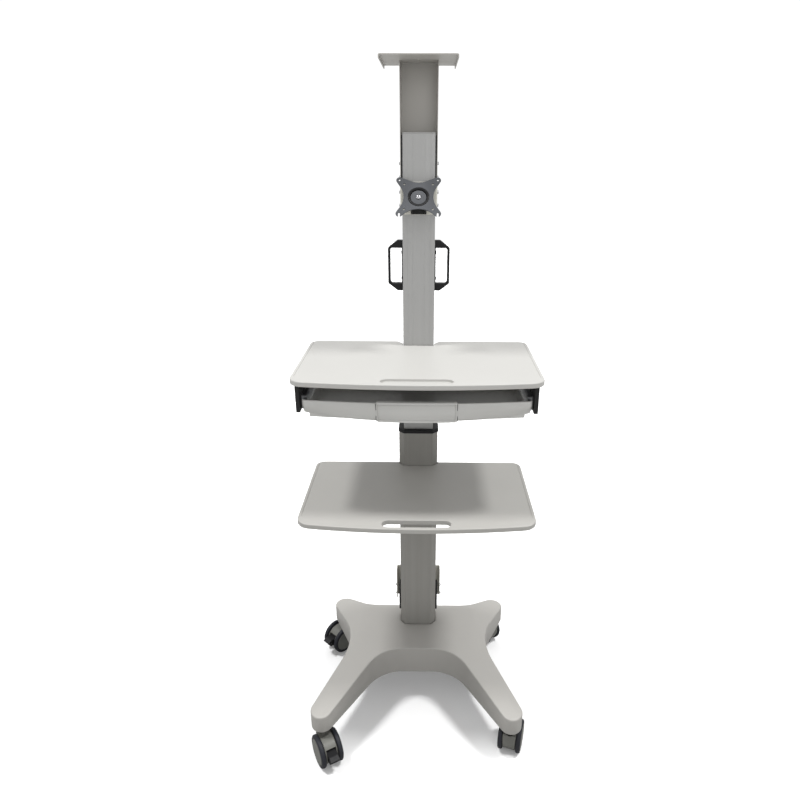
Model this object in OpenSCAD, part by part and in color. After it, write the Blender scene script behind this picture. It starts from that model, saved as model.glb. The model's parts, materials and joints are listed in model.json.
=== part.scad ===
// Mobile medical workstation cart. Millimetres, +Z up, -Y is the user's side.
// The origin is on the floor under the middle of the whole cart.

/* [Base] */
// Height of the base plate's underside above the floor
base_z = 120; // [110:1:130]
// Height of the shell at the leg tips
tip_top_z = 181; // [170:1:190]
// Height of the shell at the front of the hub
hub_front_z = 222; // [210:1:234]
// Height of the shell at the back of the hub
hub_top_z = 234; // [222:1:240]
// Radius of each leg tip
tip_r = 34; // [30:1:38]
// Half distance between the front tip centres
front_tip_x = 293; // [285:1:300]
// Half distance between the rear tip centres
rear_tip_x = 281; // [270:1:290]
// Distance of the tip centres in front of and behind the middle
tip_y = 240; // [230:1:250]
// Thickness of the shell
shell_wall = 4; // [3:0.5:5]

/* [Column] */
// Width of the outer column
outer_w = 120; // [116:1:126]
// Depth of the outer column
outer_d = 74; // [72:1:80]
// Chamfer on the outer column's corners
outer_chamfer = 16; // [12:1:18]
// Top of the collar on the outer column
collar_top_z = 981; // [970:1:990]
// Width of the inner column
inner_w = 90; // [86:1:92]
// Depth of the inner column
inner_d = 46; // [44:1:48]
// Top of the inner column
inner_top_z = 1828; // [1810:1:1840]
// Distance of the column's middle behind the middle of the cart
column_y = 119; // [116:1:122]

/* [Work surfaces] */
// Width of the worktop and of the lower shelf
tray_w = 646; // [620:1:660]
// Depth of the worktop and of the lower shelf
tray_d = 385; // [375:1:395]
// Thickness of the worktop and of the lower shelf
tray_t = 14; // [12:1:16]
// How far the front edge bows out at its middle
tray_bow = 24; // [15:1:30]
// Top of the worktop
worktop_z = 1250; // [1240:1:1260]
// Front of the worktop
worktop_front_y = -243; // [-250:1:-235]
// Top of the lower shelf
shelf_z = 860; // [850:1:870]
// Front of the lower shelf
shelf_front_y = -279; // [-285:1:-270]

/* [Keyboard drawer] */
// Half width of the drawer front
drawer_half_w = 294; // [285:1:296]
// Underside of the drawer
drawer_z = 1142; // [1138:1:1146]
// Height of the drawer front
drawer_h = 51; // [45:1:54]
// Front of the drawer front
drawer_front_y = -224; // [-228:1:-218]

/* [Monitor mount] */
// How far the plate leans back from upright, in degrees
plate_lean = 38; // [30:1:44]
// Height of the tilt pin
tilt_z = 1652; // [1645:1:1660]
// Distance of the tilt pin in front of the middle of the column
tilt_reach = 60; // [58:1:64]
// Distance from the tilt pin to the back of the plate
plate_reach = 30; // [28:1:34]

/* [Mast] */
// Top of the cart
mast_top_z = 1996; // [1980:1:2010]
// Width of the top plate
top_plate_w = 192; // [180:1:200]
// Depth of the top plate
top_plate_d = 206; // [190:1:220]

/* [Casters] */
// Radius of the wheels
wheel_r = 50; // [48:0.5:50]
// Width of one wheel
wheel_w = 17; // [15:1:18]
// Width of the fork between the wheels
fork_w = 40; // [36:1:42]
// Distance from the swivel axis to the axle
trail = 32; // [28:1:34]
// Swivel angle of the front left caster
swivel_fl = -60; // [-180:5:180]
// Swivel angle of the front right caster
swivel_fr = 73; // [-180:1:180]
// Swivel angle of the rear left caster
swivel_rl = 228; // [-180:1:360]
// Swivel angle of the rear right caster
swivel_rr = 135; // [-180:1:180]

/* [Hidden] */

// General
fine = 96;
medium = 48;
coarse = 32;
round_bow = 360;
hex = 6;
arc_steps = 20;
eps = 0.5;
through = 400;

// Base outline: circles that the edge wraps round, [x, y, radius, +1 outside or -1 inside]
front_hollow_r = 130;
front_hollow_x = 50;
side_hollow_r = 200;
rear_hollow_r = 90;
hub_front_y = -28;
hub_rear_y = 182;
waist_x = 234;
waist_y = 20;
rear_hollow_x = 140;
base_circles = [
  [-front_hollow_x, hub_front_y - front_hollow_r, front_hollow_r, -1],
  [front_hollow_x, hub_front_y - front_hollow_r, front_hollow_r, -1],
  [front_tip_x, -tip_y, tip_r, 1],
  [waist_x + side_hollow_r, waist_y, side_hollow_r, -1],
  [rear_tip_x, tip_y, tip_r, 1],
  [rear_hollow_x, hub_rear_y + rear_hollow_r, rear_hollow_r, -1],
  [-rear_hollow_x, hub_rear_y + rear_hollow_r, rear_hollow_r, -1],
  [-rear_tip_x, tip_y, tip_r, 1],
  [-waist_x - side_hollow_r, waist_y, side_hollow_r, -1],
  [-front_tip_x, -tip_y, tip_r, 1]
];
hub_corners = [
  [168, -20, hub_front_z], [176, 150, hub_top_z], [-176, 150, hub_top_z], [-168, -20, hub_front_z]
];
hub_corner_r = 24;
roof_margin = 2;
tips = [[-front_tip_x, -tip_y], [front_tip_x, -tip_y], [-rear_tip_x, tip_y], [rear_tip_x, tip_y]];
plate_t = 6;
plate_top_z = base_z + plate_t;
plate_gap = 1;
post_places = [[-150, 30], [150, 30], [-232, -118], [232, -118], [-226, 160], [226, 160]];
post_r = 8;
post_screw_r = 2;
post_hole_h = 20;
post_screw_h = 18;
screw_head_r = 5;
screw_head_t = 3;

// Column
foot_w = 166;
foot_d = 112;
foot_t = 8;
foot_top_z = plate_top_z + foot_t;
foot_bolt_x = 71;
foot_bolt_y = 42;
foot_bolt_r = 4;
foot_head_r = 7;
foot_head_t = 6;
chamfer_share = 0.6;
outer_wall = 4;
collar_seat = 5;
collar_h = 10;
outer_top_z = collar_top_z - collar_seat;
collar_skirt_z = collar_top_z - collar_h;
collar_lip = 2;
collar_gap = 0.5;
inner_bottom_z = 420;
inner_wall = 3;
inner_chamfer = 3;
groove_x = [-31, -16, 16, 31];
groove_w = 2;
groove_t = 1.2;
cap_t = 3;
cap_skirt_h = 12;
guide_gap = 0.3;
guide_h = 50;
guide_depth = 64;
upper_guide_z = outer_top_z - guide_depth;

// Gas spring
cylinder_r = 14;
cylinder_bore_r = 12;
cylinder_tail_r = 8;
cylinder_tail_h = 10;
cylinder_end_t = 8;
cylinder_top_z = 650;
rod_r = 5;
rod_gap = 0.06;
piston_z = 400;
piston_t = 12;
piston_gap = 0.08;
block_z = 850;
block_t = 20;

// Work surfaces
tray_front_r = 40;
tray_rear_r = 26;
slot_w = 184;
slot_d = 32;
slot_setback = 12;
recess_t = 8;
notch_gap = 1;
shelf_bracket_t = 4;
shelf_flange_h = 52;
worktop_flange_h = 56;
flange_setback = 17;
arm_w = 240;
arm_d = 150;
arm_end = 8;
tray_screw_x = 96;
tray_screw_y = [-128, -60];
flange_screw_in = 14;

// Drawer
drawer_bow = 21;
front_t = 16;
tray_wall = 3;
front_corner_r = 8;
front_rear_r = 2;
drawer_side_x = 282;
drawer_side_h = 40;
drawer_back_y = 58;
handle_half_w = 102;
handle_t = 9;
handle_recess = 22;
handle_lip_h = 5;
handle_lip_d = 4;
handle_foot_h = 2;
handle_recess_z = 9;
rail_t = 6;
rail_h = 36;
rail_z = 1160;
rail_web = 1.5;
rail_front_y = -178;
rail_back_y = 54;
bracket_x = 298.5;
bracket_w = 10;
bracket_bottom_z = 1160;
bracket_front_y = -206;
bracket_back_y = 84;
bracket_wall = 3;

// Bow handles
handle_top_z = 1551;
handle_bottom_z = 1410;
handle_reach = 42;
handle_bar = 6.5;
handle_arm = 21;
handle_shoulder = 15;
handle_d = 20;
handle_cut = 21;
handle_corner = 4.5;
handle_plate = 3;
handle_screw_in = 34;

// Monitor mount
clamp_bottom_z = 1622;
clamp_top_z = 1706;
clamp_t = 5;
clamp_gap = 20;
ear_backing = 24;
ear_in = 16;
ear_t = 5;
ear_r = 13;
pin_r = 5;
pin_gap = 0.06;
pin_head_r = 8;
pin_head_t = 4;
knuckle_r = 14;
neck_r = 11;
plate_sheet = 2.5;
pivot_r = 6;
disc_r = 21;
ring_r = 25;
ring_t = 4;
pivot_in = 5;
disc_t = 2;
disc_screw_r = 6;
disc_screw_t = 2.5;
layer_gap = 0.35;
vesa_100 = 50;
vesa_75 = 37.5;
vesa_hole_r = 2.6;
plate_circles = [
  [0, -93, 56.5, -1], [vesa_100, -vesa_100, 9, 1], [93, 0, 54, -1], [vesa_100, vesa_100, 9, 1],
  [0, 93, 50, -1], [-vesa_100, vesa_100, 9, 1], [-93, 0, 54, -1], [-vesa_100, -vesa_100, 9, 1]
];
tilt_y = column_y - tilt_reach;

// Mast
channel_bottom_z = 1708;
channel_in = 47.7;
channel_sheet = 2;
channel_screw_z = [1717, 1752];
clamp_screw_z = [1645, 1679];
mast_screw_y = column_y - 4;
channel_screw_r = 4.5;
channel_head_t = 3.5;
clamp_screw_r = 5;
clamp_head_t = 4;
channel_front_y = column_y - 26;
channel_back_y = column_y + 30;
plate_edge_h = 10;
top_sheet = 3;
top_hole_r = 4;
top_hole_setback = 12;
top_plate_y = column_y - 24;

// Rear bracket
rear_half_w = 76;
rear_bottom_z = 300;
rear_top_z = 424;
rear_sheet = 3;
rear_flange = 22;
pad_t = 6;
pad_front = 16;
pad_drop = 24;
pad_top = 46;
rear_screw_y = column_y + outer_d / 2 - 12;
rear_screw_z = [rear_bottom_z + 18, rear_bottom_z + 52];
rear_screw_r = 4.5;
rear_head_t = 4;

// Casters
stem_r = 5.5;
stem_gap = 0.07;
stem_bottom_z = 74;
stem_collar_r = 21;
stem_end_h = 14;
stem_nut_r = 10;
stem_nut_h = 9;
fork_top_z = 104;
fork_r = 42;
fork_boss_r = 14.5;
fork_boss_z = 58;
hood_bottom_z = 52;
hood_top_z = 96;
fork_cut_z = 24;
wheel_gap = 0.8;
axle_r = 4;
axle_gap = 0.06;
axle_end = 1.6;
tread_round = 4;
tread_step = 1.4;
rim_t = 0.6;
cap_r = 38;
cap_step = 2;
cap_gap = 0.4;
pedal_x = 58;
pedal_z = 62;
pedal_pin_r = 2.5;
pedal_pin_gap = 0.05;
pedal_hub_r = 6;
pedal_w = 30;
pedal_slot = 16;
pedal_room = 12;
pedal_slot_z0 = 34;
pedal_slot_z1 = 78;
pedal_side = [
  [pedal_x, pedal_z + 6], [86, 70], [99, 63], [99, 59], [88, 60], [82, 54], [90, 46],
  [88, 43], [76, 47], [pedal_x, pedal_z - 5]
];

// The heading of the straight line from circle a to circle b
function heading(a, b) =
  atan2(b[1] - a[1], b[0] - a[0])
  - asin((b[3] * b[2] - a[3] * a[2]) / norm([b[0] - a[0], b[1] - a[1]]));

// The smallest turn between two headings
function turn(a, b) = (b - a) - 360 * round((b - a) / 360);

// The edge's stretch round circle c, between two headings, with the edge moved in by inset
function wrap(c, from, by, inset) = [
  for (i = [0 : arc_steps])
    let (h = from + by * i / arc_steps, r = c[2] - c[3] * inset)
      [c[0] + c[3] * r * sin(h), c[1] - c[3] * r * cos(h)]
];

// A closed edge that wraps round circles
function belt(circles, inset = 0) =
  let (n = len(circles))
  [
    for (i = [0 : n - 1])
      let (
        a = heading(circles[(i + n - 1) % n], circles[i]),
        b = heading(circles[i], circles[(i + 1) % n])
      )
      each wrap(circles[i], a, turn(a, b), inset)
  ];

function arc(x, y, r, from, to) = [
  for (i = [0 : arc_steps])
    let (a = from + (to - from) * i / arc_steps)
      [x + r * cos(a), y + r * sin(a)]
];

// A rectangle with its corners cut off
function cut_rect(w, d, c) = [
  [w / 2 - c, -d / 2], [w / 2, -d / 2 + c], [w / 2, d / 2 - c], [w / 2 - c, d / 2],
  [-w / 2 + c, d / 2], [-w / 2, d / 2 - c], [-w / 2, -d / 2 + c], [-w / 2 + c, -d / 2]
];

// A bowed tray's outline, with the middle of its front edge at the origin
function bow_radius(w, bow) = (w * w / 4 + bow * bow) / (2 * bow);
function tray_edge(w, d, bow, rf, rr) =
  let (
    r = bow_radius(w, bow),
    x = w / 2 - rf,
    y = r - sqrt((r - rf) * (r - rf) - x * x),
    t = atan2(y - r, x)
  )
  concat(
    arc(0, r, r, -180 - t, t),
    arc(x, y, rf, t, 0),
    arc(w / 2 - rr, d - rr, rr, 0, 90),
    arc(rr - w / 2, d - rr, rr, 90, 180),
    arc(-x, y, rf, 180, 180 - t)
  );

module block(x0, x1, y0, y1, z0, z1) {
  translate([x0, y0, z0]) cube([x1 - x0, y1 - y0, z1 - z0]);
}

module post(x, y, z0, z1, r) {
  translate([x, y, z0]) cylinder(r = r, h = z1 - z0, $fn = medium);
}

// A rod along X between two places
module cross_rod(x0, x1, y, z, r) {
  translate([x0, y, z]) rotate([0, 90, 0]) cylinder(r = r, h = x1 - x0, $fn = medium);
}

module both_sides() {
  children();
  mirror([1, 0, 0]) children();
}

// ---- base ----

// The sloping top of the shell, lowered by drop
module base_roof(drop) {
  hull() {
    for (c = hub_corners)
      translate([c[0], c[1], base_z - eps])
        cylinder(r = hub_corner_r, h = c[2] - base_z + eps - drop, $fn = coarse);
    for (t = tips)
      translate([t[0], t[1], base_z - eps])
        cylinder(r = tip_r + roof_margin, h = tip_top_z - base_z + eps - drop, $fn = coarse);
  }
}

module base_body(inset, drop) {
  intersection() {
    translate([0, 0, base_z]) linear_extrude(hub_top_z) polygon(belt(base_circles, inset));
    base_roof(drop);
  }
}

module base_shell() color([0.72, 0.71, 0.68]) {
  difference() {
    base_body(0, 0);
    translate([0, 0, -eps]) base_body(shell_wall, shell_wall);
    block(-outer_w / 2 - 1, outer_w / 2 + 1, column_y - outer_d / 2 - 1, column_y + outer_d / 2 + 1,
      base_z, hub_top_z + 1);
  }
  for (p = post_places)
    difference() {
      intersection() {
        post(p[0], p[1], plate_top_z, hub_top_z, post_r);
        base_roof(shell_wall / 2);
      }
      post(p[0], p[1], base_z, plate_top_z + post_hole_h, post_screw_r);
    }
}

module base_plate() color([0.30, 0.30, 0.31]) difference() {
  translate([0, 0, base_z]) linear_extrude(plate_t)
    polygon(belt(base_circles, shell_wall + plate_gap));
  for (t = tips) post(t[0], t[1], base_z - 1, plate_top_z + 1, stem_r);
  for (p = post_places) post(p[0], p[1], base_z - 1, plate_top_z + 1, post_screw_r);
  for (x = [-foot_bolt_x, foot_bolt_x], y = [-foot_bolt_y, foot_bolt_y])
    post(x, column_y + y, base_z - 1, plate_top_z + 1, foot_bolt_r);
}

module base_bolts() color([0.55, 0.55, 0.57]) {
  for (p = post_places) {
    post(p[0], p[1], base_z, plate_top_z + post_screw_h, post_screw_r);
    post(p[0], p[1], base_z - screw_head_t, base_z, screw_head_r);
  }
  for (x = [-foot_bolt_x, foot_bolt_x], y = [-foot_bolt_y, foot_bolt_y]) {
    post(x, column_y + y, base_z, foot_top_z, foot_bolt_r);
    translate([x, column_y + y, foot_top_z]) cylinder(r = foot_head_r, h = foot_head_t, $fn = hex);
    translate([x, column_y + y, base_z - foot_head_t]) cylinder(r = foot_head_r, h = foot_head_t, $fn = hex);
  }
}

module caster_stems() color([0.50, 0.50, 0.49]) for (t = tips) {
  post(t[0], t[1], stem_bottom_z, plate_top_z + stem_end_h, stem_r);
  post(t[0], t[1], fork_top_z + 1, base_z, stem_collar_r);
  translate([t[0], t[1], plate_top_z]) cylinder(r = stem_nut_r, h = stem_nut_h, $fn = hex);
}

// ---- column ----

module column_foot() color([0.30, 0.30, 0.31]) difference() {
  block(-foot_w / 2, foot_w / 2, column_y - foot_d / 2, column_y + foot_d / 2, plate_top_z, foot_top_z);
  for (x = [-foot_bolt_x, foot_bolt_x], y = [-foot_bolt_y, foot_bolt_y])
    post(x, column_y + y, base_z, foot_top_z + 1, foot_bolt_r);
}

module outer_section(inset) {
  polygon(cut_rect(outer_w - 2 * inset, outer_d - 2 * inset, outer_chamfer - chamfer_share * inset));
}

module outer_column() color([0.42, 0.41, 0.38])
  translate([0, column_y, foot_top_z]) linear_extrude(outer_top_z - foot_top_z) difference() {
    outer_section(0);
    outer_section(outer_wall);
  }

module column_collar() color([0.05, 0.05, 0.05]) difference() {
  translate([0, column_y, collar_skirt_z]) linear_extrude(collar_top_z - collar_skirt_z)
    outer_section(-collar_lip);
  translate([0, column_y, collar_skirt_z - 1]) linear_extrude(outer_top_z - collar_skirt_z + 1)
    outer_section(0);
  block(-inner_w / 2 - collar_gap, inner_w / 2 + collar_gap,
    column_y - inner_d / 2 - collar_gap, column_y + inner_d / 2 + collar_gap,
    collar_skirt_z - 1, collar_top_z + 1);
}

module inner_section(grow) {
  polygon(cut_rect(inner_w + 2 * grow, inner_d + 2 * grow, inner_chamfer));
}

module upper_guide() color([0.85, 0.85, 0.83]) translate([0, column_y, upper_guide_z])
  linear_extrude(guide_h) difference() {
    outer_section(outer_wall);
    inner_section(guide_gap);
  }

module lower_guide() color([0.85, 0.85, 0.83]) translate([0, column_y, inner_bottom_z])
  linear_extrude(guide_h) difference() {
    outer_section(outer_wall + guide_gap);
    inner_section(0);
  }

module inner_column() color([0.65, 0.65, 0.64]) translate([0, column_y, inner_bottom_z])
  linear_extrude(inner_top_z - cap_t - inner_bottom_z) difference() {
    inner_section(0);
    square([inner_w - 2 * inner_wall, inner_d - 2 * inner_wall], center = true);
    for (x = groove_x, y = [-inner_d / 2, inner_d / 2])
      translate([x, y]) square([groove_w, 2 * groove_t], center = true);
  }

module column_cap() color([0.10, 0.10, 0.10]) translate([0, column_y, 0]) {
  translate([0, 0, inner_top_z - cap_t]) linear_extrude(cap_t) inner_section(0);
  translate([0, 0, inner_top_z - cap_t - cap_skirt_h]) linear_extrude(cap_skirt_h) difference() {
    square([inner_w - 2 * inner_wall, inner_d - 2 * inner_wall], center = true);
    square([inner_w - 4 * inner_wall, inner_d - 4 * inner_wall], center = true);
  }
}

module gas_cylinder() color([0.12, 0.12, 0.13]) difference() {
  union() {
    post(0, column_y, foot_top_z, foot_top_z + cylinder_tail_h, cylinder_tail_r);
    post(0, column_y, foot_top_z + cylinder_end_t, cylinder_top_z, cylinder_r);
  }
  post(0, column_y, foot_top_z + 2 * cylinder_end_t, cylinder_top_z - cylinder_end_t, cylinder_bore_r);
  post(0, column_y, foot_top_z + 2 * cylinder_end_t, cylinder_top_z + 1, rod_r + rod_gap);
}

module gas_rod() color([0.75, 0.76, 0.78]) {
  post(0, column_y, piston_z, block_z, rod_r);
  post(0, column_y, piston_z, piston_z + piston_t, cylinder_bore_r - piston_gap);
}

module rod_block() color([0.40, 0.40, 0.41]) {
  block(inner_wall - inner_w / 2, inner_w / 2 - inner_wall,
    column_y + inner_wall - inner_d / 2, column_y + inner_d / 2 - inner_wall, block_z, block_z + block_t);
}

// ---- work surfaces ----

module tray_plate(front_y, z) {
  translate([0, front_y, z - tray_t]) linear_extrude(tray_t)
    polygon(tray_edge(tray_w, tray_d, tray_bow, tray_front_r, tray_rear_r));
}

// A slot with round ends
module slot(front_y, z0, z1) {
  y = front_y + slot_setback + slot_d / 2;
  block(slot_d / 2 - slot_w / 2, slot_w / 2 - slot_d / 2, y - slot_d / 2, y + slot_d / 2, z0, z1);
  both_sides() post(slot_w / 2 - slot_d / 2, y, z0, z1, slot_d / 2);
}

module lower_shelf() color([0.70, 0.69, 0.66]) difference() {
  tray_plate(shelf_front_y, shelf_z);
  slot(shelf_front_y, shelf_z - tray_t - 1, shelf_z + 1);
  translate([0, column_y, shelf_z - tray_t - 1]) linear_extrude(tray_t + 2) outer_section(-notch_gap);
}

module worktop() color([0.91, 0.91, 0.89]) difference() {
  tray_plate(worktop_front_y, worktop_z);
  slot(worktop_front_y, worktop_z - recess_t, worktop_z + 1);
  block(-inner_w / 2 - notch_gap, inner_w / 2 + notch_gap, column_y - inner_d / 2 - notch_gap,
    worktop_front_y + tray_d + 1, worktop_z - tray_t - 1, worktop_z + 1);
}

// A sheet under a tray with a flange down each side of the column
module tray_bracket(half_w, column_d, z, flange_h, back) {
  t = shelf_bracket_t;
  difference() {
    block(-arm_w / 2, arm_w / 2, column_y - arm_d, back, z - t, z);
    block(-half_w, half_w, column_y - column_d / 2, column_y + column_d, z - t - 1, z + 1);
  }
  both_sides() block(half_w, half_w + t, column_y - column_d / 2 + flange_setback,
    column_y + column_d / 2 - flange_setback, z - t - flange_h, z - t);
}

module shelf_bracket() color([0.25, 0.25, 0.25])
  tray_bracket(outer_w / 2, outer_d, shelf_z - tray_t, shelf_flange_h, shelf_front_y + tray_d - arm_end);

module worktop_bracket() color([0.12, 0.12, 0.12])
  tray_bracket(inner_w / 2, inner_d, worktop_z - tray_t, worktop_flange_h,
    worktop_front_y + tray_d - arm_end);

// Screws up into a tray, and a pair through each flange
module tray_screws(half_w, z, flange_h) {
  t = shelf_bracket_t;
  for (x = [-tray_screw_x, tray_screw_x], y = tray_screw_y)
    post(x, column_y + y, z - t - screw_head_t, z - t, screw_head_r);
  both_sides() for (dz = [flange_screw_in, flange_h - flange_screw_in])
    cross_rod(half_w + t, half_w + t + screw_head_t, column_y, z - t - dz, screw_head_r);
}

module shelf_screws() color([0.55, 0.55, 0.57])
  tray_screws(outer_w / 2, shelf_z - tray_t, shelf_flange_h);

module worktop_screws() color([0.55, 0.55, 0.57])
  tray_screws(inner_w / 2, worktop_z - tray_t, worktop_flange_h);

// ---- drawer ----

module rail_bracket() difference() {
  block(bracket_x, bracket_x + bracket_w, bracket_front_y, bracket_back_y, bracket_bottom_z,
    worktop_z - tray_t);
  block(bracket_x + bracket_wall, bracket_x + bracket_w - bracket_wall,
    bracket_front_y + bracket_wall, bracket_back_y + 1,
    bracket_bottom_z + bracket_wall, worktop_z - tray_t - bracket_wall);
}

module rail_bracket_right() color([0.06, 0.06, 0.06]) rail_bracket();
module rail_bracket_left() color([0.06, 0.06, 0.06]) mirror([1, 0, 0]) rail_bracket();

// Outer C channel of each slide, open towards the drawer
module fixed_rails() color([0.62, 0.63, 0.65]) both_sides() difference() {
  block(bracket_x - rail_t * 2, bracket_x, rail_front_y, rail_back_y, rail_z, rail_z + rail_h);
  block(bracket_x - rail_t * 2 - 1, bracket_x - rail_web, rail_front_y - 1, rail_back_y + 1,
    rail_z + rail_web, rail_z + rail_h - rail_web);
}

module moving_rails() color([0.70, 0.71, 0.73]) both_sides()
  block(drawer_side_x + tray_wall, bracket_x - rail_web - 1, rail_front_y, rail_back_y,
    rail_z + rail_web + 1, rail_z + rail_h - rail_web - 1);

// The bowed outline of the drawer front
module front_outline() {
  translate([0, drawer_front_y])
    polygon(tray_edge(2 * drawer_half_w, drawer_bow + front_t + front_corner_r, drawer_bow,
      front_corner_r, front_rear_r));
}

// The bowed drawer front and the open tray behind it
module drawer_tray() color([0.88, 0.88, 0.87]) {
  r = bow_radius(2 * drawer_half_w, drawer_bow);
  difference() {
    translate([0, 0, drawer_z]) linear_extrude(drawer_h) front_outline();
    translate([0, drawer_front_y + front_t + r, drawer_z + tray_wall])
      cylinder(r = r, h = drawer_h, $fn = round_bow);
  }
  difference() {
    block(-drawer_side_x - tray_wall, drawer_side_x + tray_wall, drawer_front_y + drawer_bow + front_t,
      drawer_back_y, drawer_z, drawer_z + drawer_side_h);
    block(-drawer_side_x, drawer_side_x, drawer_front_y, drawer_back_y - tray_wall,
      drawer_z + tray_wall, drawer_z + drawer_h);
  }
}

// Grip panel in the middle of the drawer front, hollow behind its lips
module drawer_handle() color([0.93, 0.93, 0.92]) {
  y0 = drawer_front_y - handle_t;
  difference() {
    block(-handle_half_w, handle_half_w, y0, drawer_front_y + handle_lip_d, drawer_z + handle_foot_h,
      drawer_z + drawer_h + handle_lip_h);
    block(tray_wall - handle_half_w, handle_half_w - tray_wall, y0 - 1, drawer_front_y - 1,
      drawer_z + handle_recess_z, drawer_z + handle_recess_z + handle_recess);
    translate([0, 0, drawer_z - 1]) linear_extrude(drawer_h + 1) front_outline();
  }
}

// ---- bow handles ----

module bow_handle() {
  x0 = inner_w / 2;
  x1 = x0 + handle_reach;
  xs = x0 + handle_shoulder;
  xi = x1 - handle_bar;
  z0 = handle_bottom_z + handle_arm;
  z1 = handle_top_z - handle_arm;
  translate([0, column_y + handle_d / 2, 0]) rotate([90, 0, 0]) linear_extrude(handle_d) difference() {
    polygon([
      [x0, handle_bottom_z], [xs, handle_bottom_z], [x1, handle_bottom_z + handle_cut],
      [x1, handle_top_z - handle_cut], [xs, handle_top_z], [x0, handle_top_z]
    ]);
    polygon([
      [x0 + handle_plate, z0], [xi - handle_corner, z0], [xi, z0 + handle_corner],
      [xi, z1 - handle_corner], [xi - handle_corner, z1], [x0 + handle_plate, z1]
    ]);
  }
}

module handle_right() color([0.06, 0.06, 0.06]) bow_handle();
module handle_left() color([0.06, 0.06, 0.06]) mirror([1, 0, 0]) bow_handle();

module handle_screws() color([0.15, 0.15, 0.15]) both_sides()
  for (z = [handle_bottom_z + handle_screw_in, handle_top_z - handle_screw_in])
    cross_rod(inner_w / 2 + handle_plate, inner_w / 2 + handle_plate + screw_head_t, column_y, z,
      screw_head_r);

// ---- monitor mount ----

module monitor_clamp() color([0.90, 0.89, 0.84]) difference() {
  block(-inner_w / 2 - clamp_t, inner_w / 2 + clamp_t, column_y - inner_d / 2 - clamp_t,
    column_y + inner_d / 2 + clamp_t, clamp_bottom_z, clamp_top_z);
  block(-inner_w / 2, inner_w / 2, column_y - inner_d / 2, column_y + inner_d / 2,
    clamp_bottom_z - 1, clamp_top_z + 1);
  block(-clamp_gap, clamp_gap, column_y, column_y + through, clamp_bottom_z - 1, clamp_top_z + 1);
}

// Puts children on the plate's own plane, its middle at the origin and its face along +Z
module on_plate(out) {
  translate([0, tilt_y, tilt_z]) rotate([90 - plate_lean, 0, 0]) translate([0, 0, plate_reach + out])
    children();
}

module tilt_bracket() color([0.08, 0.08, 0.08]) {
  y1 = column_y - inner_d / 2 - clamp_t;
  block(-ear_in - ear_t, ear_in + ear_t, y1 - ear_t, y1, tilt_z - ear_backing, tilt_z + ear_backing);
  both_sides() difference() {
    union() {
      block(ear_in, ear_in + ear_t, tilt_y, y1 - ear_t, tilt_z - ear_r, tilt_z + ear_r);
      cross_rod(ear_in, ear_in + ear_t, tilt_y, tilt_z, ear_r);
    }
    cross_rod(ear_in - 1, ear_in + ear_t + 1, tilt_y, tilt_z, pin_r);
  }
}

module tilt_pin() color([0.60, 0.60, 0.62]) {
  cross_rod(-ear_in - ear_t, ear_in + ear_t, tilt_y, tilt_z, pin_r);
  both_sides() cross_rod(ear_in + ear_t, ear_in + ear_t + pin_head_t, tilt_y, tilt_z, pin_head_r);
}

module tilt_knuckle() color([0.07, 0.07, 0.07]) difference() {
  union() {
    cross_rod(layer_gap - ear_in, ear_in - layer_gap, tilt_y, tilt_z, knuckle_r);
    on_plate(-plate_reach) cylinder(r = neck_r, h = plate_reach - ring_t, $fn = medium);
    on_plate(-ring_t - layer_gap) cylinder(r = ring_r, h = ring_t, $fn = fine);
    on_plate(-pivot_in) cylinder(r = pivot_r, h = pivot_in + plate_sheet + layer_gap, $fn = medium);
  }
  cross_rod(-ear_in, ear_in, tilt_y, tilt_z, pin_r + pin_gap);
}

module pivot_disc() color([0.45, 0.45, 0.46]) {
  on_plate(plate_sheet + layer_gap) cylinder(r = disc_r, h = disc_t, $fn = fine);
  on_plate(plate_sheet + layer_gap + disc_t) cylinder(r = disc_screw_r, h = disc_screw_t, $fn = medium);
}

module vesa_plate() color([0.47, 0.48, 0.50]) on_plate(0) difference() {
  linear_extrude(plate_sheet) polygon(belt(plate_circles));
  translate([0, 0, -1]) cylinder(r = pivot_r + pin_gap, h = plate_sheet + 2, $fn = medium);
  for (x = [-vesa_75, vesa_75], y = [-vesa_75, vesa_75])
    translate([x, y, -1]) cylinder(r = vesa_hole_r, h = plate_sheet + 2, $fn = medium);
  for (x = [-vesa_100, vesa_100], y = [-vesa_100, vesa_100])
    translate([x, y, -1]) cylinder(r = vesa_hole_r, h = plate_sheet + 2, $fn = medium);
  for (x = [-vesa_100, vesa_100])
    translate([x - vesa_hole_r, -vesa_100 - through, -1]) cube([2 * vesa_hole_r, through, plate_sheet + 2]);
}

// ---- mast ----

module mast_channel() color([0.54, 0.53, 0.50]) {
  top = mast_top_z - top_sheet;
  both_sides() difference() {
    block(channel_in, channel_in + channel_sheet, channel_front_y, channel_back_y, channel_bottom_z, top);
    for (z = channel_screw_z)
      cross_rod(channel_in - 1, channel_in + channel_sheet + 1, mast_screw_y, z, channel_screw_r);
  }
  block(-channel_in - channel_sheet, channel_in + channel_sheet, channel_back_y,
    channel_back_y + channel_sheet, channel_bottom_z, top);
}

module mast_screws() color([0.30, 0.30, 0.31]) both_sides() {
  for (z = channel_screw_z)
    cross_rod(inner_w / 2, channel_in + channel_sheet + channel_head_t, mast_screw_y, z, channel_screw_r);
  for (z = clamp_screw_z)
    cross_rod(inner_w / 2 + clamp_t, inner_w / 2 + clamp_t + clamp_head_t, mast_screw_y, z, clamp_screw_r);
}

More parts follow.
